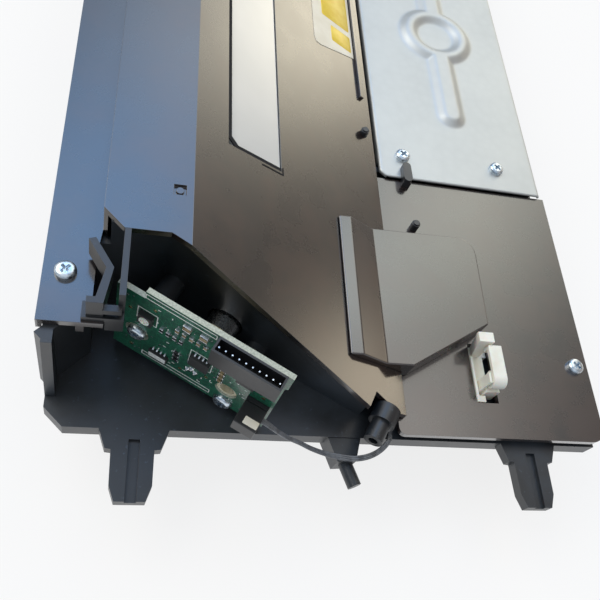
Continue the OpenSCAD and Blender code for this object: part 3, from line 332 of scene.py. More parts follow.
# %% Plastics
def moulded(tree, place, base, dust, amount, rough, gloss):
    """Black plastic under dust: clouds 26 mm across, specks of 1.2 mm and an etched grain."""
    cloud = node(tree, "TexNoise", {"Vector": place, "Scale": grain(26), "Detail": 5.0,
                                    "Roughness": 0.62}).outputs["Fac"]
    film = node(tree, "MapRange", {"Value": cloud, "From Min": 0.4, "From Max": 0.72,
                                   "To Max": amount}, interpolation_type="SMOOTHSTEP").outputs[0]
    speck = node(tree, "TexNoise", {"Vector": place, "Scale": grain(1.2),
                                    "Detail": 2.0}).outputs["Fac"]
    speck = node(tree, "MapRange", {"Value": speck, "From Min": 0.66, "From Max": 0.74,
                                    "To Max": amount * 1.7}).outputs[0]
    fac = node(tree, "Math", {0: film, 1: speck}, operation="MAXIMUM").outputs[0]
    tint = node(tree, "Mix", {0: fac, 6: colour(base), 7: colour(dust)},
                data_type="RGBA").outputs[2]
    matt = node(tree, "MapRange", {"Value": cloud, "From Min": 0.3, "From Max": 0.7,
                                   "To Min": rough - 0.06, "To Max": rough + 0.14}).outputs[0]
    etch = node(tree, "TexNoise", {"Vector": place, "Scale": grain(0.4),
                                   "Detail": 2.0}).outputs["Fac"]
    relief = node(tree, "Bump", {"Height": etch, "Distance": 0.00002, "Strength": 0.5}).outputs[0]
    return {"Base Color": tint, "Roughness": matt, "Normal": relief, "IOR": 1.58,
            "Coat Weight": gloss, "Coat Roughness": 0.3, "Coat IOR": 1.6}


def polished(tree, place, base, haze, rough):
    """Smooth black plastic: flow haze 70 mm long, wipe marks 14 mm across, and fine lint."""
    drawn = node(tree, "Mapping", {"Vector": place, "Scale": (1.0, 0.4, 1.0)}).outputs[0]
    flow = node(tree, "TexNoise", {"Vector": drawn, "Scale": grain(70), "Detail": 4.0,
                                   "Distortion": 1.2}).outputs["Fac"]
    wipe = node(tree, "TexNoise", {"Vector": place, "Scale": grain(14), "Detail": 4.0,
                                   "Roughness": 0.6}).outputs["Fac"]
    fac = node(tree, "Math", {0: flow, 1: wipe}, operation="MULTIPLY").outputs[0]
    fac = node(tree, "MapRange", {"Value": fac, "From Min": 0.16, "From Max": 0.36},
               interpolation_type="SMOOTHSTEP").outputs[0]
    lint = node(tree, "TexNoise", {"Vector": place, "Scale": grain(0.9),
                                   "Detail": 2.0}).outputs["Fac"]
    lint = node(tree, "MapRange", {"Value": lint, "From Min": 0.7, "From Max": 0.76,
                                   "To Max": 0.25}).outputs[0]
    fac = node(tree, "Math", {0: fac, 1: lint}, operation="MAXIMUM").outputs[0]
    tint = node(tree, "Mix", {0: fac, 6: colour(base), 7: colour(haze)},
                data_type="RGBA").outputs[2]
    matt = node(tree, "MapRange", {"Value": wipe, "From Min": 0.25, "From Max": 0.75,
                                   "To Min": rough - 0.05, "To Max": rough + 0.08}).outputs[0]
    wave = node(tree, "Bump", {"Height": flow, "Distance": 0.0004, "Strength": 0.25}).outputs[0]
    return {"Base Color": tint, "Roughness": matt, "Normal": wave, "IOR": 1.6,
            "Coat Weight": 1.0, "Coat Roughness": 0.12, "Coat IOR": 1.8}


# Etched tool and years of dust: matt blue-black
HOUSING = material("glass_filled_polycarbonate", moulded, base="#0e141a", dust="#3f4c59",
                   amount=0.34, rough=0.46, gloss=0.35)
# Polished tool: mirrors the room softly, with a brown haze where it is wiped
COVER = material("polished_black_abs", polished, base="#0f1012", haze="#2a1c17", rough=0.27)
# Smooth tool and a slippery resin: satin black
CLIP = material("satin_black_acetal", moulded, base="#101317", dust="#49515c",
                amount=0.14, rough=0.38, gloss=0.4)
# Fine tool and short glass fibre: even dark grey, hardly any shine
CONNECTOR = material("black_nylon_connector", moulded, base="#141519", dust="#3c3f46",
                     amount=0.12, rough=0.46, gloss=0.15)
# Pressed epoxy powder: sandy and dull
CHIP = material("epoxy_chip_package", moulded, base="#131416", dust="#38393c",
                amount=0.25, rough=0.5, gloss=0.1)
print("5 plastics")


# %% [markdown]
# ## One cloud of grain
# Many finishes are two close colours in a cloud of one size that also moves the gloss and a faint
# relief: zinc plating, ground steel, moulded nylon, foam, paper, ceramic, solder. Each could have a
# tree of its own; one recipe with a grain size serves them all.

# %% Recipe for a mottled finish
GLOSS_SPREAD = 0.06


def mottled(tree, place, low, high, size, rough, relief, drawn, more):
    """A cloud of features size mm across blends low and high, and lifts by relief mm."""
    vector = node(tree, "Mapping", {"Vector": place, "Scale": drawn}).outputs[0]
    cloud = node(tree, "TexNoise", {"Vector": vector, "Scale": grain(size),
                                    "Detail": 3.0}).outputs["Fac"]
    fac = node(tree, "MapRange", {"Value": cloud, "From Min": 0.35, "From Max": 0.65},
               interpolation_type="SMOOTHSTEP").outputs[0]
    tint = node(tree, "Mix", {0: fac, 6: colour(low), 7: colour(high)},
                data_type="RGBA").outputs[2]
    matt = node(tree, "MapRange", {"Value": fac, "To Min": rough - GLOSS_SPREAD,
                                   "To Max": rough + GLOSS_SPREAD}).outputs[0]
    lift = node(tree, "Bump", {"Height": cloud, "Distance": relief / 1000,
                               "Strength": 0.4}).outputs[0]
    return {"Base Color": tint, "Roughness": matt, "Normal": lift, **more}


print("gloss moves", GLOSS_SPREAD, "to each side")

# %% [markdown]
# ## Twenty finishes in one table
# A table keeps the numbers side by side, so that zinc can be compared with steel. Metals keep the
# default IOR and get their colour from the metal. The grain of plating, solder, ink and wire is too
# fine to show, so theirs is drawn at 0.4 to 1.4 mm.

# %% Mottled finishes
METAL = {"Metallic": 1.0}
SOFT_WHITE = {"Subsurface Weight": 0.2, "Subsurface Scale": 0.004, "IOR": 1.53}
FINISHES = (
    # name, low, high, grain mm, roughness, relief mm, drawn, constants
    # Moulded, a little see-through: warm white with soft shadows inside
    ("white_nylon", "#faf6ea", "#efe9da", 8, 0.4, 0.01, (1, 1, 1), SOFT_WHITE),
    # Glass-filled and moulded: matt cream with a grainy cloud
    ("cream_polyester_moulding", "#d6cfb9", "#c2b997", 3.3, 0.5, 0.01, (1, 1, 1), {"IOR": 1.55}),
    # Cut from sheet: so dull that it reads as a black line; also laid as painted shade in a recess
    ("foam_and_painted_recess_shade", "#17181a", "#242528", 0.5, 0.92, 0.08, (1, 1, 1), {}),
    # Printed and varnished: even off-white with a weak gloss
    ("coated_paper_label", "#f2eedf", "#e8e2cf", 14, 0.4, 0.004, (1, 1, 1),
     {"Coat Weight": 0.3, "Coat Roughness": 0.18}),
    # Screen print under the same varnish: one strong flat yellow
    ("yellow_label_ink", "#ffe04a", "#f8d43a", 5, 0.38, 0.004, (1, 1, 1), {"Coat Weight": 0.3}),
    # Electroplated and passivated: blue-white, softly shining
    ("bright_zinc_plate", "#bccbd8", "#e6eef4", 1.4, 0.3, 0.01, (1, 1, 1), METAL),
    # Ground and oiled: plain grey metal with a satin gloss
    ("ground_steel", "#aeb2b5", "#c6c9cb", 2, 0.28, 0.01, (1, 1, 1), METAL),
    # Turned on a lathe: pale, its grain drawn out round the axis
    ("turned_aluminium", "#b9bbbd", "#cfd1d2", 1.1, 0.26, 0.01, (1, 1, 12), METAL),
    # A thin plated film: pale gold with small bright points
    ("gold_flash", "#c3ab74", "#ddcfa6", 0.7, 0.24, 0.01, (1, 1, 1), METAL),
    # Drawn wire under tin: near white where it catches light
    ("tinned_pin", "#c6cacd", "#eceeef", 0.7, 0.2, 0.005, (1, 1, 1), METAL),
    # Flowed tin alloy: bright, slightly rippled
    ("solder", "#a8adb1", "#d6dadc", 0.7, 0.2, 0.03, (1, 1, 1), METAL),
    # Drawn wire under varnish: dark orange with fine turns
    ("enamelled_copper", "#8e4420", "#c06a36", 0.4, 0.3, 0.01, (1, 1, 6), METAL),
    # Pressed powder full of oil: brown gold and dull
    ("sintered_bronze", "#8f6a36", "#b08a50", 0.6, 0.4, 0.02, (1, 1, 1), METAL),
    # Evaporated and coated: almost a perfect mirror
    ("mirror_silver", "#dfe3e6", "#eceff1", 16, 0.04, 0.0005, (1, 1, 1), METAL),
    # Moulded magnet powder: flat charcoal grey
    ("bonded_ferrite", "#26292d", "#3a3e43", 0.7, 0.6, 0.02, (1, 1, 1), {}),
    # Fired and diced: matt tan
    ("ceramic_capacitor", "#7f6a48", "#a08f6c", 1.2, 0.45, 0.01, (1, 1, 1), {}),
    # Printed glaze: small glossy black face
    ("resistor_film", "#141416", "#26262a", 1.1, 0.32, 0.005, (1, 1, 1), {}),
    # Screen-printed epoxy: thick matt white
    ("white_board_ink", "#f4f5ef", "#dfe2da", 0.7, 0.5, 0.005, (1, 1, 1), {}),
    # Sawn glass fibre and resin: pale green-grey, dry looking
    ("cut_board_edge", "#a6ada0", "#c2c8ba", 0.6, 0.6, 0.02, (1, 1, 1), {}),
    # Extruded: smooth mid grey with one soft shine
    ("grey_pvc_wire", "#595b5f", "#74777b", 2, 0.36, 0.01, (1, 1, 1), {"Coat Weight": 0.3}),
)
FINISH = {name: material(name, mottled, low=low, high=high, size=size, rough=rough,
                         relief=relief, drawn=drawn, more=more)
          for name, low, high, size, rough, relief, drawn, more in FINISHES}
print(len(FINISH), "finishes")


# %% [markdown]
# ## Galvanised sheet
# Sheet steel dipped in zinc shows spangle, the crystals of the zinc, about 4 mm across. An image of
# it would show where it repeats; Voronoi cells with a soft cloud over them never do. The skin is
# satin, so the gloss hardly changes over the sheet.

# %% Sheet steel
def galvanised(tree, place):
    """Cells 4 mm across times a cloud 25 mm across, between two greys of zinc."""
    cell = node(tree, "TexVoronoi", {"Vector": place, "Scale": grain(4)}).outputs["Distance"]
    cloud = node(tree, "TexNoise", {"Vector": place, "Scale": grain(25),
                                    "Detail": 5.0}).outputs["Fac"]
    fac = node(tree, "Math", {0: cell, 1: cloud}, operation="MULTIPLY").outputs[0]
    tint = node(tree, "Mix", {0: fac, 6: colour("#cdd0ce"), 7: colour("#c4c7c5")},
                data_type="RGBA").outputs[2]
    matt = node(tree, "MapRange", {"Value": cloud, "From Min": 0.3, "From Max": 0.7,
                                   "To Min": 0.5, "To Max": 0.54}).outputs[0]
    fine = node(tree, "TexNoise", {"Vector": place, "Scale": grain(0.7),
                                   "Detail": 2.0}).outputs["Fac"]
    relief = node(tree, "Bump", {"Height": fine, "Distance": 0.000006, "Strength": 0.4}).outputs[0]
    return {"Base Color": tint, "Roughness": matt, "Normal": relief, "Metallic": 0.8}


# Hot-dipped and rolled: an even pale grey with a soft sheen
SHEET = material("galvanised_steel_sheet", galvanised)
print("sheet steel, its spangle 4 mm across")


# %% [markdown]
# ## Lens plastic and dust glass
# Moulded lenses are clear acrylic and let nearly all light through. The dust glass over the slit is
# coated and backed by the dark tub, and reads as one pale, even mirror, so it is made opaque with a
# clear coat, and its pale colour is a painted reflection of the bright room. Both carry the faint
# streaks that dust leaves.

# %% Glass
def clear(tree, place, low, high, rough, through, more):
    """Glass or clear plastic, with the faint streaks of its dust 40 mm apart."""
    haze = node(tree, "TexNoise", {"Vector": place, "Scale": grain(40),
                                   "Detail": 3.0}).outputs["Fac"]
    fac = node(tree, "MapRange", {"Value": haze, "From Min": 0.3, "From Max": 0.75}).outputs[0]
    tint = node(tree, "Mix", {0: fac, 6: colour(low), 7: colour(high)},
                data_type="RGBA").outputs[2]
    matt = node(tree, "MapRange", {"Value": haze, "To Min": rough,
                                   "To Max": rough + GLOSS_SPREAD}).outputs[0]
    return {"Base Color": tint, "Roughness": matt, "IOR": 1.5,
            "Transmission Weight": through, **more}


# Moulded acrylic: seen by its edges and its glints
LENS = material("clear_moulded_lens", clear, low="#e9f0ea", high="#f4f3ee", rough=0.03,
                through=0.9, more={})
# Float glass with a coating: one even mirror, its pale colour a painted reflection
DUST_GLASS = material("dust_glass_painted_reflection", clear, low="#dddedb", high="#cdcfcc", rough=0.08,
                      through=0.0, more={"Coat Weight": 1.0, "Coat Roughness": 0.03})
print("lens plastic and dust glass")


# %% [markdown]
# ## Solder mask
# A circuit board has copper tracks under a clear green lacquer, so it shows two greens and a faint
# relief. Drawing each track would be a circuit; the edges of blocky cells and rows of bricks, laid
# in the board's own coordinates, give the same busy look.

# %% Board lacquer
def solder_mask(tree, place, origin):
    """Tracks 0.35 mm wide: edges of cells 2.4 mm across and rows of bricks, under lacquer."""
    local = node(tree, "VectorMath", {0: place, 1: origin}, operation="SUBTRACT").outputs[0]
    u = node(tree, "VectorMath", {0: local, 1: U_AXIS * 1000},
             operation="DOT_PRODUCT").outputs["Value"]
    rise = node(tree, "SeparateXYZ", {0: local}).outputs[2]
    h = node(tree, "Math", {0: rise, 1: 1000.0}, operation="MULTIPLY").outputs[0]
    flat = node(tree, "CombineXYZ", {0: u, 1: h}).outputs[0]
    cell = node(tree, "TexVoronoi", {"Vector": flat, "Scale": 0.42, "Randomness": 0.8},
                feature="DISTANCE_TO_EDGE", voronoi_dimensions="2D").outputs["Distance"]
    edge = node(tree, "MapRange", {"Value": cell, "From Min": 0.02, "From Max": 0.09,
                                   "To Min": 1.0, "To Max": 0.0}).outputs[0]
    rows = node(tree, "TexBrick", {"Vector": flat, "Scale": 0.9, "Mortar Size": 0.06, "Bias": -0.3,
                                   "Brick Width": 2.2, "Row Height": 0.55}).outputs["Fac"]
    track = node(tree, "Math", {0: edge, 1: rows}, operation="MAXIMUM").outputs[0]
    pour = node(tree, "TexNoise", {"Vector": place, "Scale": grain(6),
                                   "Detail": 2.0}).outputs["Fac"]
    pour = node(tree, "MapRange", {"Value": pour, "From Min": 0.5, "From Max": 0.56}).outputs[0]
    ground = node(tree, "Mix", {0: pour, 6: colour("#084534"), 7: colour("#0c5640")},
                  data_type="RGBA").outputs[2]
    lit = node(tree, "Math", {0: track, 1: 0.7}, operation="MULTIPLY").outputs[0]
    tint = node(tree, "Mix", {0: lit, 6: ground, 7: colour("#1d7a56")}, data_type="RGBA").outputs[2]
    relief = node(tree, "Bump", {"Height": track, "Distance": 0.00003, "Strength": 0.5}).outputs[0]
    return {"Base Color": tint, "Roughness": 0.32, "Normal": relief, "IOR": 1.5,
            "Coat Weight": 0.6, "Coat Roughness": 0.12}


# Cured lacquer over copper: two deep greens under a thin shine
MASK = material("green_solder_mask", solder_mask, origin=board((0, 0, 0)))
print("solder mask")

# %% [markdown]
# ## Bringing the CAD nodes over
# The frame's meshes are exact but loose: every triangle has its own corners. `dress` copies a mesh,
# joins its corners, melts the flat triangles together and lets a Bevel modifier round the edges, so
# that they catch the light. Remeshing would soften everything alike; a bevel leaves the flats flat.
# A sawn board shows its pale core on every side wall, so faces that turn away from one direction
# can take a second material.

# %% Copy and soften
WELD, MELT = 2e-6, math.radians(0.6)


def dress(name, look, width, segments=2, angle=32, core=None, facing=None):
    """A node's mesh with soft edges of the width in mm and its finish; core goes on side walls."""
    mesh = NODES[name].data.copy()
    mesh.name = name + "_look"
    bm = bmesh.new()
    bm.from_mesh(mesh)
    bmesh.ops.remove_doubles(bm, verts=bm.verts, dist=WELD)
    bmesh.ops.dissolve_limit(bm, angle_limit=MELT, verts=bm.verts, edges=bm.edges)
    for face in bm.faces:
        face.smooth = True
        side_wall = core is not None and abs(face.normal.dot(Vector(facing))) < 0.5
        face.material_index = int(side_wall)
    for edge in bm.edges:
        if len(edge.link_faces) == 2 and edge.calc_face_angle(0) > math.radians(angle):
            edge.smooth = False
    mesh.materials.clear()
    for finish in (look, core):
        if finish:
            mesh.materials.append(finish)
    bm.to_mesh(mesh)
    bm.free()
    obj = bpy.data.objects.new(name + "_look", mesh)
    scene.collection.objects.link(obj)
    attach(obj, body_of(name))
    if width:
        bevel = obj.modifiers.new("soft_edges", "BEVEL")
        bevel.width = width / 1000
        bevel.segments = segments
        bevel.limit_method = "ANGLE"
        bevel.angle_limit = math.radians(angle)
        bevel.use_clamp_overlap = True
        bevel.harden_normals = True
    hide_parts(name)
    return obj


print("dress is ready for", len(NODES), "nodes")

# %% [markdown]
# ## What each node is made of
# One line a finish lists its nodes, each with the width in millimetres of its softened edges. Thick
# mouldings have wide edges, thin metal and chips narrow ones, and a label keeps its cut edge. The
# covers get a third segment and a lower threshold, so that their shallow folds stay crisp.

# %% Dress the nodes
COVER_SEGMENTS, COVER_ANGLE = 3, 20
LOOKS = (
    (HOUSING, (("base_plate", 0.35), ("optics_tub", 0.4), ("housing_walls", 0.35),
               ("bay_frame", 0.3))),
    (COVER, (("upper_cover", 1.3), ("deck_cover", 1.0), ("rear_deck_cover", 1.0),
             ("connector_hood", 1.5), ("edge_rail", 0.25))),
    (CLIP, (("harness_hook", 0.35), ("cover_clip", 0.5), ("locating_pegs", 0.25),
            ("cylinder_lens_mount", 0.15))),
    (FINISH["foam_and_painted_recess_shade"], (("glass_seal", 0), ("motor_bay_seal", 0.2))),
    (FINISH["white_nylon"], (("wire_saddle", 0.6), ("saddle_latch", 0.9), ("motor_connector", 0.15),
                             ("trimmer_rotor", 0.05))),
    (FINISH["coated_paper_label"], (("blank_label", 0),)),
    (FINISH["bright_zinc_plate"], (("cover_screws", 0.12), ("board_screws", 0.12),
                                   ("motor_screws", 0.06))),
    (FINISH["tinned_pin"], (("header_pins", 0),)),
    (FINISH["cream_polyester_moulding"], (("laser_holder", 0.15),)),
    (FINISH["gold_flash"], (("laser_diode", 0.04),)),
    (FINISH["turned_aluminium"], (("collimator_barrel", 0.15), ("rotor_hub", 0.3))),
    (FINISH["sintered_bronze"], (("motor_bearing", 0.15),)),
    (FINISH["ground_steel"], (("motor_stator", 0.1), ("motor_shaft", 0.1), ("mirror_spring", 0.06),
                              ("lens_clips", 0.08), ("mirror_clips", 0.08))),
    (FINISH["enamelled_copper"], (("motor_coils", 0.4),)),
    (FINISH["bonded_ferrite"], (("rotor_magnet", 0.1),)),
    (FINISH["mirror_silver"], (("polygon_mirror", 0.08), ("fold_mirror", 0.15),
                               ("sync_mirror", 0.1))),
    (LENS, (("collimator_lens", 0.1), ("cylinder_lens", 0.1), ("scan_lens_front", 0.2),
            ("scan_lens_rear", 0.2))),
    (DUST_GLASS, (("dust_glass", 0.1),)),
    (CONNECTOR, (("board_header", 0.12), ("sync_header", 0.12), ("sync_plug", 0.3))),
    (CHIP, (("board_chips", 0.12), ("motor_chip", 0.12), ("sync_sensor", 0.1),
            ("trimmer_body", 0.15))),
)
for look, names in LOOKS:
    for name, width in names:
        dress(name, look, width, *((COVER_SEGMENTS, COVER_ANGLE) if look is COVER else ()))
BOARDS = (("driver_board", OUT_AXIS), ("sync_board", OUT_AXIS), ("motor_board", (0, 0, 1)))
for name, facing in BOARDS:
    dress(name, MASK, 0.08, core=FINISH["cut_board_edge"], facing=facing)
print(sum(len(names) for _, names in LOOKS) + len(BOARDS), "nodes dressed")

# %% [markdown]
# ## The bead of the motor cover
# A press draws a ring and two bars up into the sheet, and metal cannot turn a sharp corner: the
# walls of the bead are a smooth S. Bevelled blocks on a plate would show a seam. A height does not:
# the signed distance to the bead's outline goes through a smoothstep.

# %% Height of the bead
BEAD_RISE, BEAD_WALL, RING_R, DIMPLE_R, BAR_HALF, BAR_END = 2.0, 4.6, 18.0, 7.6, 7.0, 48.0
MOTOR_X, MOTOR_Y = 146.8, 186.5


def smoothstep(x):
    """3x^2 - 2x^3 between 0 and 1: level at both ends."""
    x = np.clip(x, 0, 1)
    return x * x * (3 - 2 * x)


def bead_rise(x, y):
    """Ring and bars as one distance, less the dimple; the rise follows an S one wall wide."""
    dx, dy = x - MOTOR_X, y - MOTOR_Y
    ring = np.hypot(dx, dy) - RING_R
    bars = np.hypot(dx, np.maximum(np.abs(dy) - BAR_END, 0)) - BAR_HALF
    outside = np.maximum(np.minimum(ring, bars), DIMPLE_R - np.hypot(dx, dy))
    return BEAD_RISE * smoothstep(-outside / BEAD_WALL)


ring_middle = MOTOR_X + (RING_R + DIMPLE_R) / 2
print("the ring rises", round(float(bead_rise(ring_middle, MOTOR_Y)), 2), "mm")

# %% [markdown]
# ## The pressed motor cover
# The cover is one sheet with its long edges folded down into skirts. Two bent planes would need
# joining, so the whole sheet is one grid: a bent profile carried along the unit, lifted by the
# bead. The Solidify modifier then gives it the thickness of the sheet.

# %% Pressed cover
SHEET_X0, SHEET_X1, SHEET_Y0, SHEET_Y1 = 111.7, 180.2, 102.0, 274.0
SHEET_T, SHEET_TOP, BEND, CUT = 0.8, 6.0, 1.1, 2.4
LIP, SKIRT, SKIRT_START, SKIRT_RAMP = 0.3, 3.9, 7, 0.6


def pressed_sheet():
    """Profile: up the left skirt, round a bend, across, round and down; carried along y."""
    bend = np.linspace(0, math.pi / 2, 5)
    round_x, round_z = BEND * (1 - np.cos(bend)), BEND * (1 - np.sin(bend))
    flat = np.linspace(BEND, SHEET_X1 - SHEET_X0 - BEND, 94)[1:-1]
    offset = np.concatenate([[0], round_x, flat, SHEET_X1 - SHEET_X0 - round_x[::-1],
                             [SHEET_X1 - SHEET_X0]])
    drop = np.concatenate([[BEND], round_z, np.zeros(len(flat)), round_z[::-1], [BEND]])
    skirt = np.zeros_like(drop)
    skirt[[0, -1]] = 1
    y = np.linspace(SHEET_Y0, SHEET_Y1, 236)[:, None]
    inner = smoothstep((np.minimum(y - SHEET_Y0, SHEET_Y1 - y) - SKIRT_START) / SKIRT_RAMP)
    depth = drop + skirt * (LIP + SKIRT * inner)
    start = np.maximum(CUT - (y - SHEET_Y0), 0)
    width = SHEET_X1 - SHEET_X0
    x = SHEET_X0 + start + offset * (width - start) / width
    y = np.broadcast_to(y, x.shape)
    z = SHEET_TOP - depth + bead_rise(x, y)
    return bench(np.stack([x, y, z], axis=-1))


cover = piece("pressed_motor_cover", [(grid(pressed_sheet()), 0)], [SHEET], sharp=60)
thick = cover.modifiers.new("sheet_gauge", "SOLIDIFY")
thick.thickness = SHEET_T / 1000
thick.offset = -1
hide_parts("motor_cover")

# %% [markdown]
# ## Small parts on the driver board
# A surface-mount part is a tiny block between two tinned end caps. Placed one by one they would
# fill pages. They stand in rows, so each row is one line: its start, its size, its step and count.

# %% Surface-mount parts
ROWS = (
    # u, h, width, height, step u, step h, count, thickness, body material number
    (18.5, 26.2, 1.2, 2.0, 2.2, 0, 6, 0.6, 0), (14, 21.6, 1.2, 2.0, 2.1, 0, 4, 0.6, 1),
    (33.6, 13.2, 2.0, 1.2, 0, 2.3, 4, 0.6, 0), (19.4, 10, 2.0, 1.2, 0, 2.2, 3, 0.6, 1),
    (45, 3.6, 1.0, 2.0, 1.9, 0, 3, 0.5, 0), (39.4, 26.2, 1.2, 1.8, 2.1, 0, 4, 0.5, 1),
    (20.5, 30.6, 2.4, 2.8, 5.1, 0, 2, 1.0, 0))
parts = []
for u, h, wide, tall, step_u, step_h, count, thick_mm, number in ROWS:
    for k in range(count):
        middle = np.array((u + step_u * k + wide / 2, h + step_h * k + tall / 2, 0))
        upright = tall > wide
        size = (wide - 0.08, tall * 0.62) if upright else (wide * 0.62, tall - 0.08)
        body = board(block(*size, thick_mm - 0.06) + middle)
        parts.append((grid(body, wrap_columns=True, cap=True), number))
        cap = (wide, tall * 0.22) if upright else (wide * 0.22, tall)
        for end in (-0.39, 0.39):
            shift = np.array((0, end * tall, 0) if upright else (end * wide, 0, 0))
            parts.append((grid(board(block(*cap, thick_mm, 0.08, 0.06) + middle + shift),
                               wrap_columns=True, cap=True), 2))
small = piece("surface_mount_parts", parts,
              [FINISH["ceramic_capacitor"], FINISH["resistor_film"], FINISH["solder"]])
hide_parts("board_small_parts")


# %% [markdown]
# ## Chip leads
# A chip stands on gull-wing leads: out of the package, down, and flat on the board. A curve object
# could bend a bar; for a lead so small, its side view is carried across its width.

# %% Gull-wing leads
def gull_wing(rise, width=0.42, thick=0.14):
    """The lead's side view as a closed ring of points, once at each edge of its width."""
    path = np.array([(-0.1, rise), (0.25, rise), (0.42, 0.3), (0.55, thick), (1.1, thick)])
    ring = np.vstack([path, path[::-1] - (0, thick)])
    return np.stack([np.column_stack([ring[:, 0], np.full(len(ring), edge), ring[:, 1]])
                     for edge in (-width / 2, width / 2)])


leads = []
for u, low, high, rise, pitch in ((27.75, 15.6, 20.4, 0.9, 1.27), (15.2, 5.2, 9.0, 0.6, 1.27),
                                  (41.8, 20.4, 24.4, 0.6, 1.27)):
    for k in range(4):
        for edge, degrees in ((high, 90), (low, -90)):
            wing = spun(gull_wing(rise), degrees) + (u + (k - 1.5) * pitch, edge, 0)
            leads.append((grid(board(wing), wrap_columns=True, cap=True), 0))
print(len(leads), "chip leads")

# %% [markdown]
# ## Solder joints and gold pads
# Solder climbs a pin and leaves a cone with a hollow flank, with the cut end of the pin in its tip.
# A plain cone would look moulded, so six radii follow the flank. Test pads are flat gold discs.

# %% Joints and pads
JOINTS = ((24.53, 9), (27.07, 9), (25.8, 10.27), (44.4, 8.3), (46.4, 8.3), (48.4, 8.3))
for u, h in JOINTS:
    cone = turned((0.95, 0.8, 0.5, 0.32, 0.26, 0.05), (0, 0.12, 0.34, 0.6, 0.8, 0.84))
    leads.append((grid(board(cone + (u, h, 0)), wrap_columns=True, cap=True), 0))
GOLD_PADS = ((11.8, 30.6), (4.4, 24.8), (22.4, 6.4), (30.6, 10.6), (36.3, 22.8), (47.9, 18.2),
             (34, 30), (6, 4.2))
for u, h in GOLD_PADS:
    pad = turned((0.62, 0.62, 0.3, 0.05), (0, 0.06, 0.08, 0.08))
    leads.append((grid(board(pad + (u, h, 0)), wrap_columns=True, cap=True), 1))
piece("leads_and_joints", leads, [FINISH["solder"], FINISH["gold_flash"]])

# %% [markdown]
# ## Board print and vias
# The white ink on a board is a film thick enough to see. Two long blank boxes, a frame round the
# chip, a blank tag and plain ticks beside the parts give the board its busy look with no lettering.
# Vias, the plated holes that join the layers, are scattered with a fixed seed.

# %% Board print
COLLAR_HOLES, HOLE_CLEAR = ((7.3, 13.3), (37.5, 9.6)), 4.6


def on_board(u, h):
    """True where print or a via stands clear of both collar holes."""
    return min(math.hypot(u - a, h - b) for a, b in COLLAR_HOLES) >= HOLE_CLEAR


ink = []
for u, h, wide, tall, line in ((19.2, 35.4, 21.6, 2.2, 0.32), (21.3, 2.9, 23.4, 2.2, 0.32),
                               (27.75, 18, 7.4, 7.4, 0.28), (9.8, 25, 6.4, 6.4, 0.28)):
    ink.append((grid(board(border(wide, tall, line) + (u, h, 0)), wrap_rows=True,
                     wrap_columns=True), 0))
ink.append((grid(board(block(5.6, 2.3, 0.05, 0.2, 0.02) + (15.2, 7.1, 1.2)), wrap_columns=True,
                 cap=True), 0))
dice = np.random.default_rng(11)
TICKS, VIAS = 46, 90
for u, h, across in zip(dice.uniform(12, 46, TICKS), dice.uniform(4.8, 32, TICKS),
                        dice.random(TICKS)):
    size = (0.9, 0.28) if across > 0.4 else (0.28, 0.8)
    if on_board(u, h):
        ink.append((grid(board(block(*size, 0.05, 0.08, 0.02) + (u, h, 0)), wrap_columns=True,
                         cap=True), 0))
for u, h in zip(dice.uniform(2, 50, VIAS), dice.uniform(2, 33.5, VIAS)):
    under_header = u > 30 and h > 29
    if on_board(u, h) and not under_header:
        via = turned((0.3, 0.3, 0.14, 0.05), (0, 0.05, 0.06, 0.02), 8)
        ink.append((grid(board(via + (u, h, 0)), wrap_columns=True, cap=True), 1))
piece("board_print", ink, [FINISH["white_board_ink"], FINISH["tinned_pin"]])

# %% [markdown]
# ## Print and painted recess shade on the covers
# The sticker keeps its colours but no words: two blank yellow fields. The dust glass sits in a
# dark recess, and its shade is painted as a black foam line on the two sides away from the ridge.

# %% Label fields, painted recess shade and plug tag
def tag(place, wide, tall, depth, middle, radius=0.8):
    """A thin rounded field laid in one of the measuring frames."""
    return grid(place(block(wide, tall, depth, radius, 0.02) + np.asarray(middle)),
                wrap_columns=True, cap=True)


piece("label_fields", [(tag(slope, 15.5, 43, 0.05, (66.0, 194, 0.16)), 0),
                       (tag(slope, 11, 9, 0.05, (68.4, 165, 0.16)), 0)],
      [FINISH["yellow_label_ink"]])
GLASS_U0, GLASS_U1, GLASS_Y0, GLASS_Y1 = 11.69, 32.72, 77.5, 295.5
GLASS_TOP = -0.5
# Painted shade: these black foam strips stand in for the shadow in the recess round the dust glass
recess_shade_paths = [([(GLASS_U0 + 0.45, GLASS_Y1), (GLASS_U0 + 0.45, GLASS_Y0 + 3.4),
            (GLASS_U0 + 3.4, GLASS_Y0 + 0.45), (GLASS_U1, GLASS_Y0 + 0.45)], 1.5, 0.5),
          ([(GLASS_U1 - 8, GLASS_Y0 - 1.2), (GLASS_U1 + 0.6, GLASS_Y0 - 1.2),
            (GLASS_U1 + 0.6, GLASS_Y0 + 1.6)], 0.45, 0.62)]
piece("painted_recess_shade", [(grid(slope(strip(path, wide, lift) + (0, 0, GLASS_TOP)), wrap_columns=True,
                             cap=True), 0) for path, wide, lift in recess_shade_paths],
      [FINISH["foam_and_painted_recess_shade"]])


def on_plug(points):
    """(u, depth, h) on the plug's top face, with its normal upwards."""
    points = np.asarray(points, dtype=float)
    return board(np.stack([points[..., 0], points[..., 2], -points[..., 1]], axis=-1))


piece("plug_tag", [(tag(on_plug, 4.4, 2.3, 0.22, (48.4, -6.9, 15.4), 0.2), 0)],
      [FINISH["coated_paper_label"]])

# %% [markdown]
# ## The lead's three wires
# The three insulated wires lie side by side and roll over each other a little on the way. Each is
# the route moved sideways by its lane, in a direction that turns slowly, so the lead never looks
# like a flat ribbon.

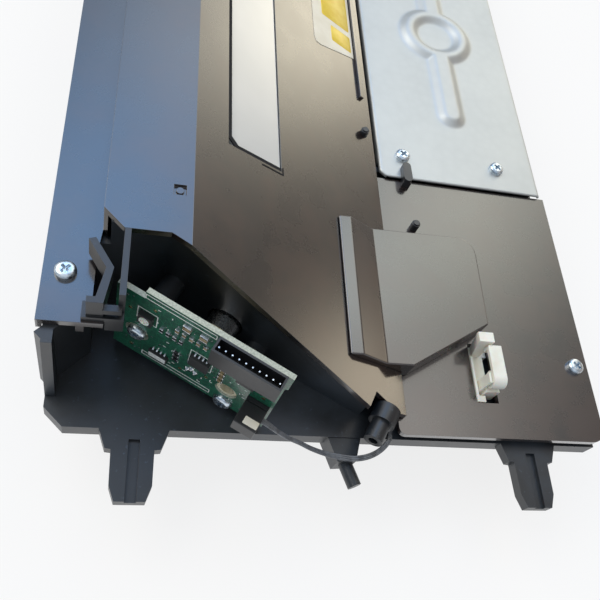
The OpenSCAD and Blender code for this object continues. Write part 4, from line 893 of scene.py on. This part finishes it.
# %% Wires
WIRE_R, LANE = 0.00034, 0.00056
_, side, lift = along(route)
roll = 0.5 * np.sin(np.linspace(0, 2.6 * math.pi, len(route)))[:, None]
wires = [(grid(sweep(route + lane * LANE * (np.cos(roll) * side + np.sin(roll) * lift), WIRE_R),
               wrap_columns=True, cap=True), 0) for lane in (-1, 0, 1)]
lead = piece("sync_wires", wires, [FINISH["grey_pvc_wire"]], sharp=60)
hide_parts("sync_lead")

# %% [markdown]
# ## The sky
# Polished black shows nothing but what it mirrors, so the light is painted as a sky: a soft grey,
# cool to the left and warm to the right, with patches where windows would be. A cool one is behind
# the unit, and warm ones are to its right. Area lamps would show as hard rectangles in the polish;
# a patch here is a power of the cosine to its centre, so it fades with no edge. The camera itself
# sees an even backdrop where the floor ends.

# %% Sky
scene.view_settings.view_transform = "Standard"
PATCHES = (
    # degrees round from +Y, degrees up, sharpness, colour, strength
    (-5, 56, 30, "#86b6f0", 2.7), (7, 40, 90, "#e8ecf2", 1.3), (38, 46, 80, "#f3f3e2", 2.2),
    (28, 56, 150, "#eef0e2", 2.0), (54, 61, 110, "#efe6dc", 2.0), (31, 31, 60, "#f4f0e6", 2.2),
    (38, 10, 90, "#f4ead0", 3.4), (68, 13, 170, "#f0e2c8", 3.0), (180, 62, 4, "#f4f6f8", 0.5))
COOL, WARM, BACKDROP = "#8a96a4", "#8a807a", "#f7f7f7"
world = bpy.data.worlds.new("studio")
scene.world = world
world.use_nodes = True
tree = world.node_tree
tree.nodes.clear()
ray = node(tree, "TexCoord").outputs["Generated"]
east = node(tree, "SeparateXYZ", {0: ray}).outputs[0]
east = node(tree, "MapRange", {"Value": east, "From Min": -0.1, "From Max": 0.8}).outputs[0]
light = node(tree, "Mix", {0: east, 6: colour(COOL), 7: colour(WARM)}, data_type="RGBA").outputs[2]
for around, up, sharpness, code, strength in PATCHES:
    around, up = math.radians(around), math.radians(up)
    centre = (math.sin(around) * math.cos(up), math.cos(around) * math.cos(up), math.sin(up))
    near = node(tree, "VectorMath", {0: ray, 1: centre},
                operation="DOT_PRODUCT").outputs["Value"]
    near = node(tree, "Math", {0: near, 1: 0.0}, operation="MAXIMUM").outputs[0]
    near = node(tree, "Math", {0: near, 1: float(sharpness)}, operation="POWER").outputs[0]
    tint = [c * strength for c in colour(code)[:3]]
    light = node(tree, "VectorMath", {0: near, 1: tint, 2: light},
                 operation="MULTIPLY_ADD").outputs[0]
sky = node(tree, "Background", {"Color": light, "Strength": 1.0})
backdrop = node(tree, "Background", {"Color": colour(BACKDROP), "Strength": 1.0})
shown = node(tree, "LightPath").outputs["Is Camera Ray"]
shown = node(tree, "MixShader", {0: shown, 1: sky.outputs[0], 2: backdrop.outputs[0]})
node(tree, "OutputWorld", {"Surface": shown.outputs[0]})
print(len(PATCHES), "patches of sky")


# %% [markdown]
# ## The floor
# The unit lies on white paper. A brighter lamp would wash the unit out, so the paper itself glows,
# but only for rays from the camera, from gloss and through glass. All other light finds plain
# paper, which keeps the soft shadow.

# %% Floor
def plain(tree, place):
    """Paper with a hardly visible cloud, a third of a metre across."""
    cloud = node(tree, "TexNoise", {"Vector": place, "Scale": 3.0, "Detail": 2.0}).outputs["Fac"]
    tint = node(tree, "Mix", {0: cloud, 6: colour("#f5f5f3"), 7: colour("#f2f2f0")},
                data_type="RGBA").outputs[2]
    return {"Base Color": tint, "Roughness": 0.9, "Specular IOR Level": 0.0}


# Uncoated paper: nearly white, with no shine at all
FLOOR = material("pale_floor", plain)
GLOW, FLOOR_REACH = 0.8, 3.0
tree = FLOOR.node_tree
out = next(n for n in tree.nodes if n.type == "OUTPUT_MATERIAL")
paper = next(n for n in tree.nodes if n.type == "BSDF_PRINCIPLED")
light_path = node(tree, "LightPath")
seen = light_path.outputs["Is Camera Ray"]
for kind in ("Is Glossy Ray", "Is Transmission Ray"):
    seen = node(tree, "Math", {0: seen, 1: light_path.outputs[kind]},
                operation="MAXIMUM").outputs[0]
share = node(tree, "Math", {0: seen, 1: GLOW}, operation="MULTIPLY").outputs[0]
white = node(tree, "Emission", {"Color": colour("#ffffff"), "Strength": 1.0})
mixed = node(tree, "MixShader", {0: share, 1: paper.outputs[0], 2: white.outputs[0]})
tree.links.new(mixed.outputs[0], out.inputs["Surface"])
ends = (-FLOOR_REACH, FLOOR_REACH)
floor_points, floor_faces = grid(np.stack(np.meshgrid(ends, ends) + [np.zeros((2, 2))], axis=-1))
mesh = bpy.data.meshes.new("floor")
mesh.from_pydata(floor_points, [], floor_faces)
mesh.materials.append(FLOOR)
floor = bpy.data.objects.new("floor", mesh)
scene.collection.objects.link(floor)
print("floor", 2 * FLOOR_REACH, "m wide")

# %% [markdown]
# ## One softbox
# The sky alone leaves pale matt things flat. One wide rectangular lamp, high on the left, models
# the screws, the nylon and the board. A small lamp would cut hard shadows; a wide one keeps them
# soft.

# %% Softbox
LAMP_PLACE = Vector((-1.1, 0.5, 1.2))
lamp = bpy.data.lights.new("side_light", "AREA")
lamp.shape = "RECTANGLE"
lamp.size = lamp.size_y = 1.3
lamp.energy = 17
lamp.color = colour("#fff8ee")[:3]
side_light = bpy.data.objects.new("side_light", lamp)
side_light.location = LAMP_PLACE
side_light.rotation_euler = (-LAMP_PLACE).to_track_quat("-Z", "Y").to_euler()
scene.collection.objects.link(side_light)
print("one softbox,", lamp.energy, "W")
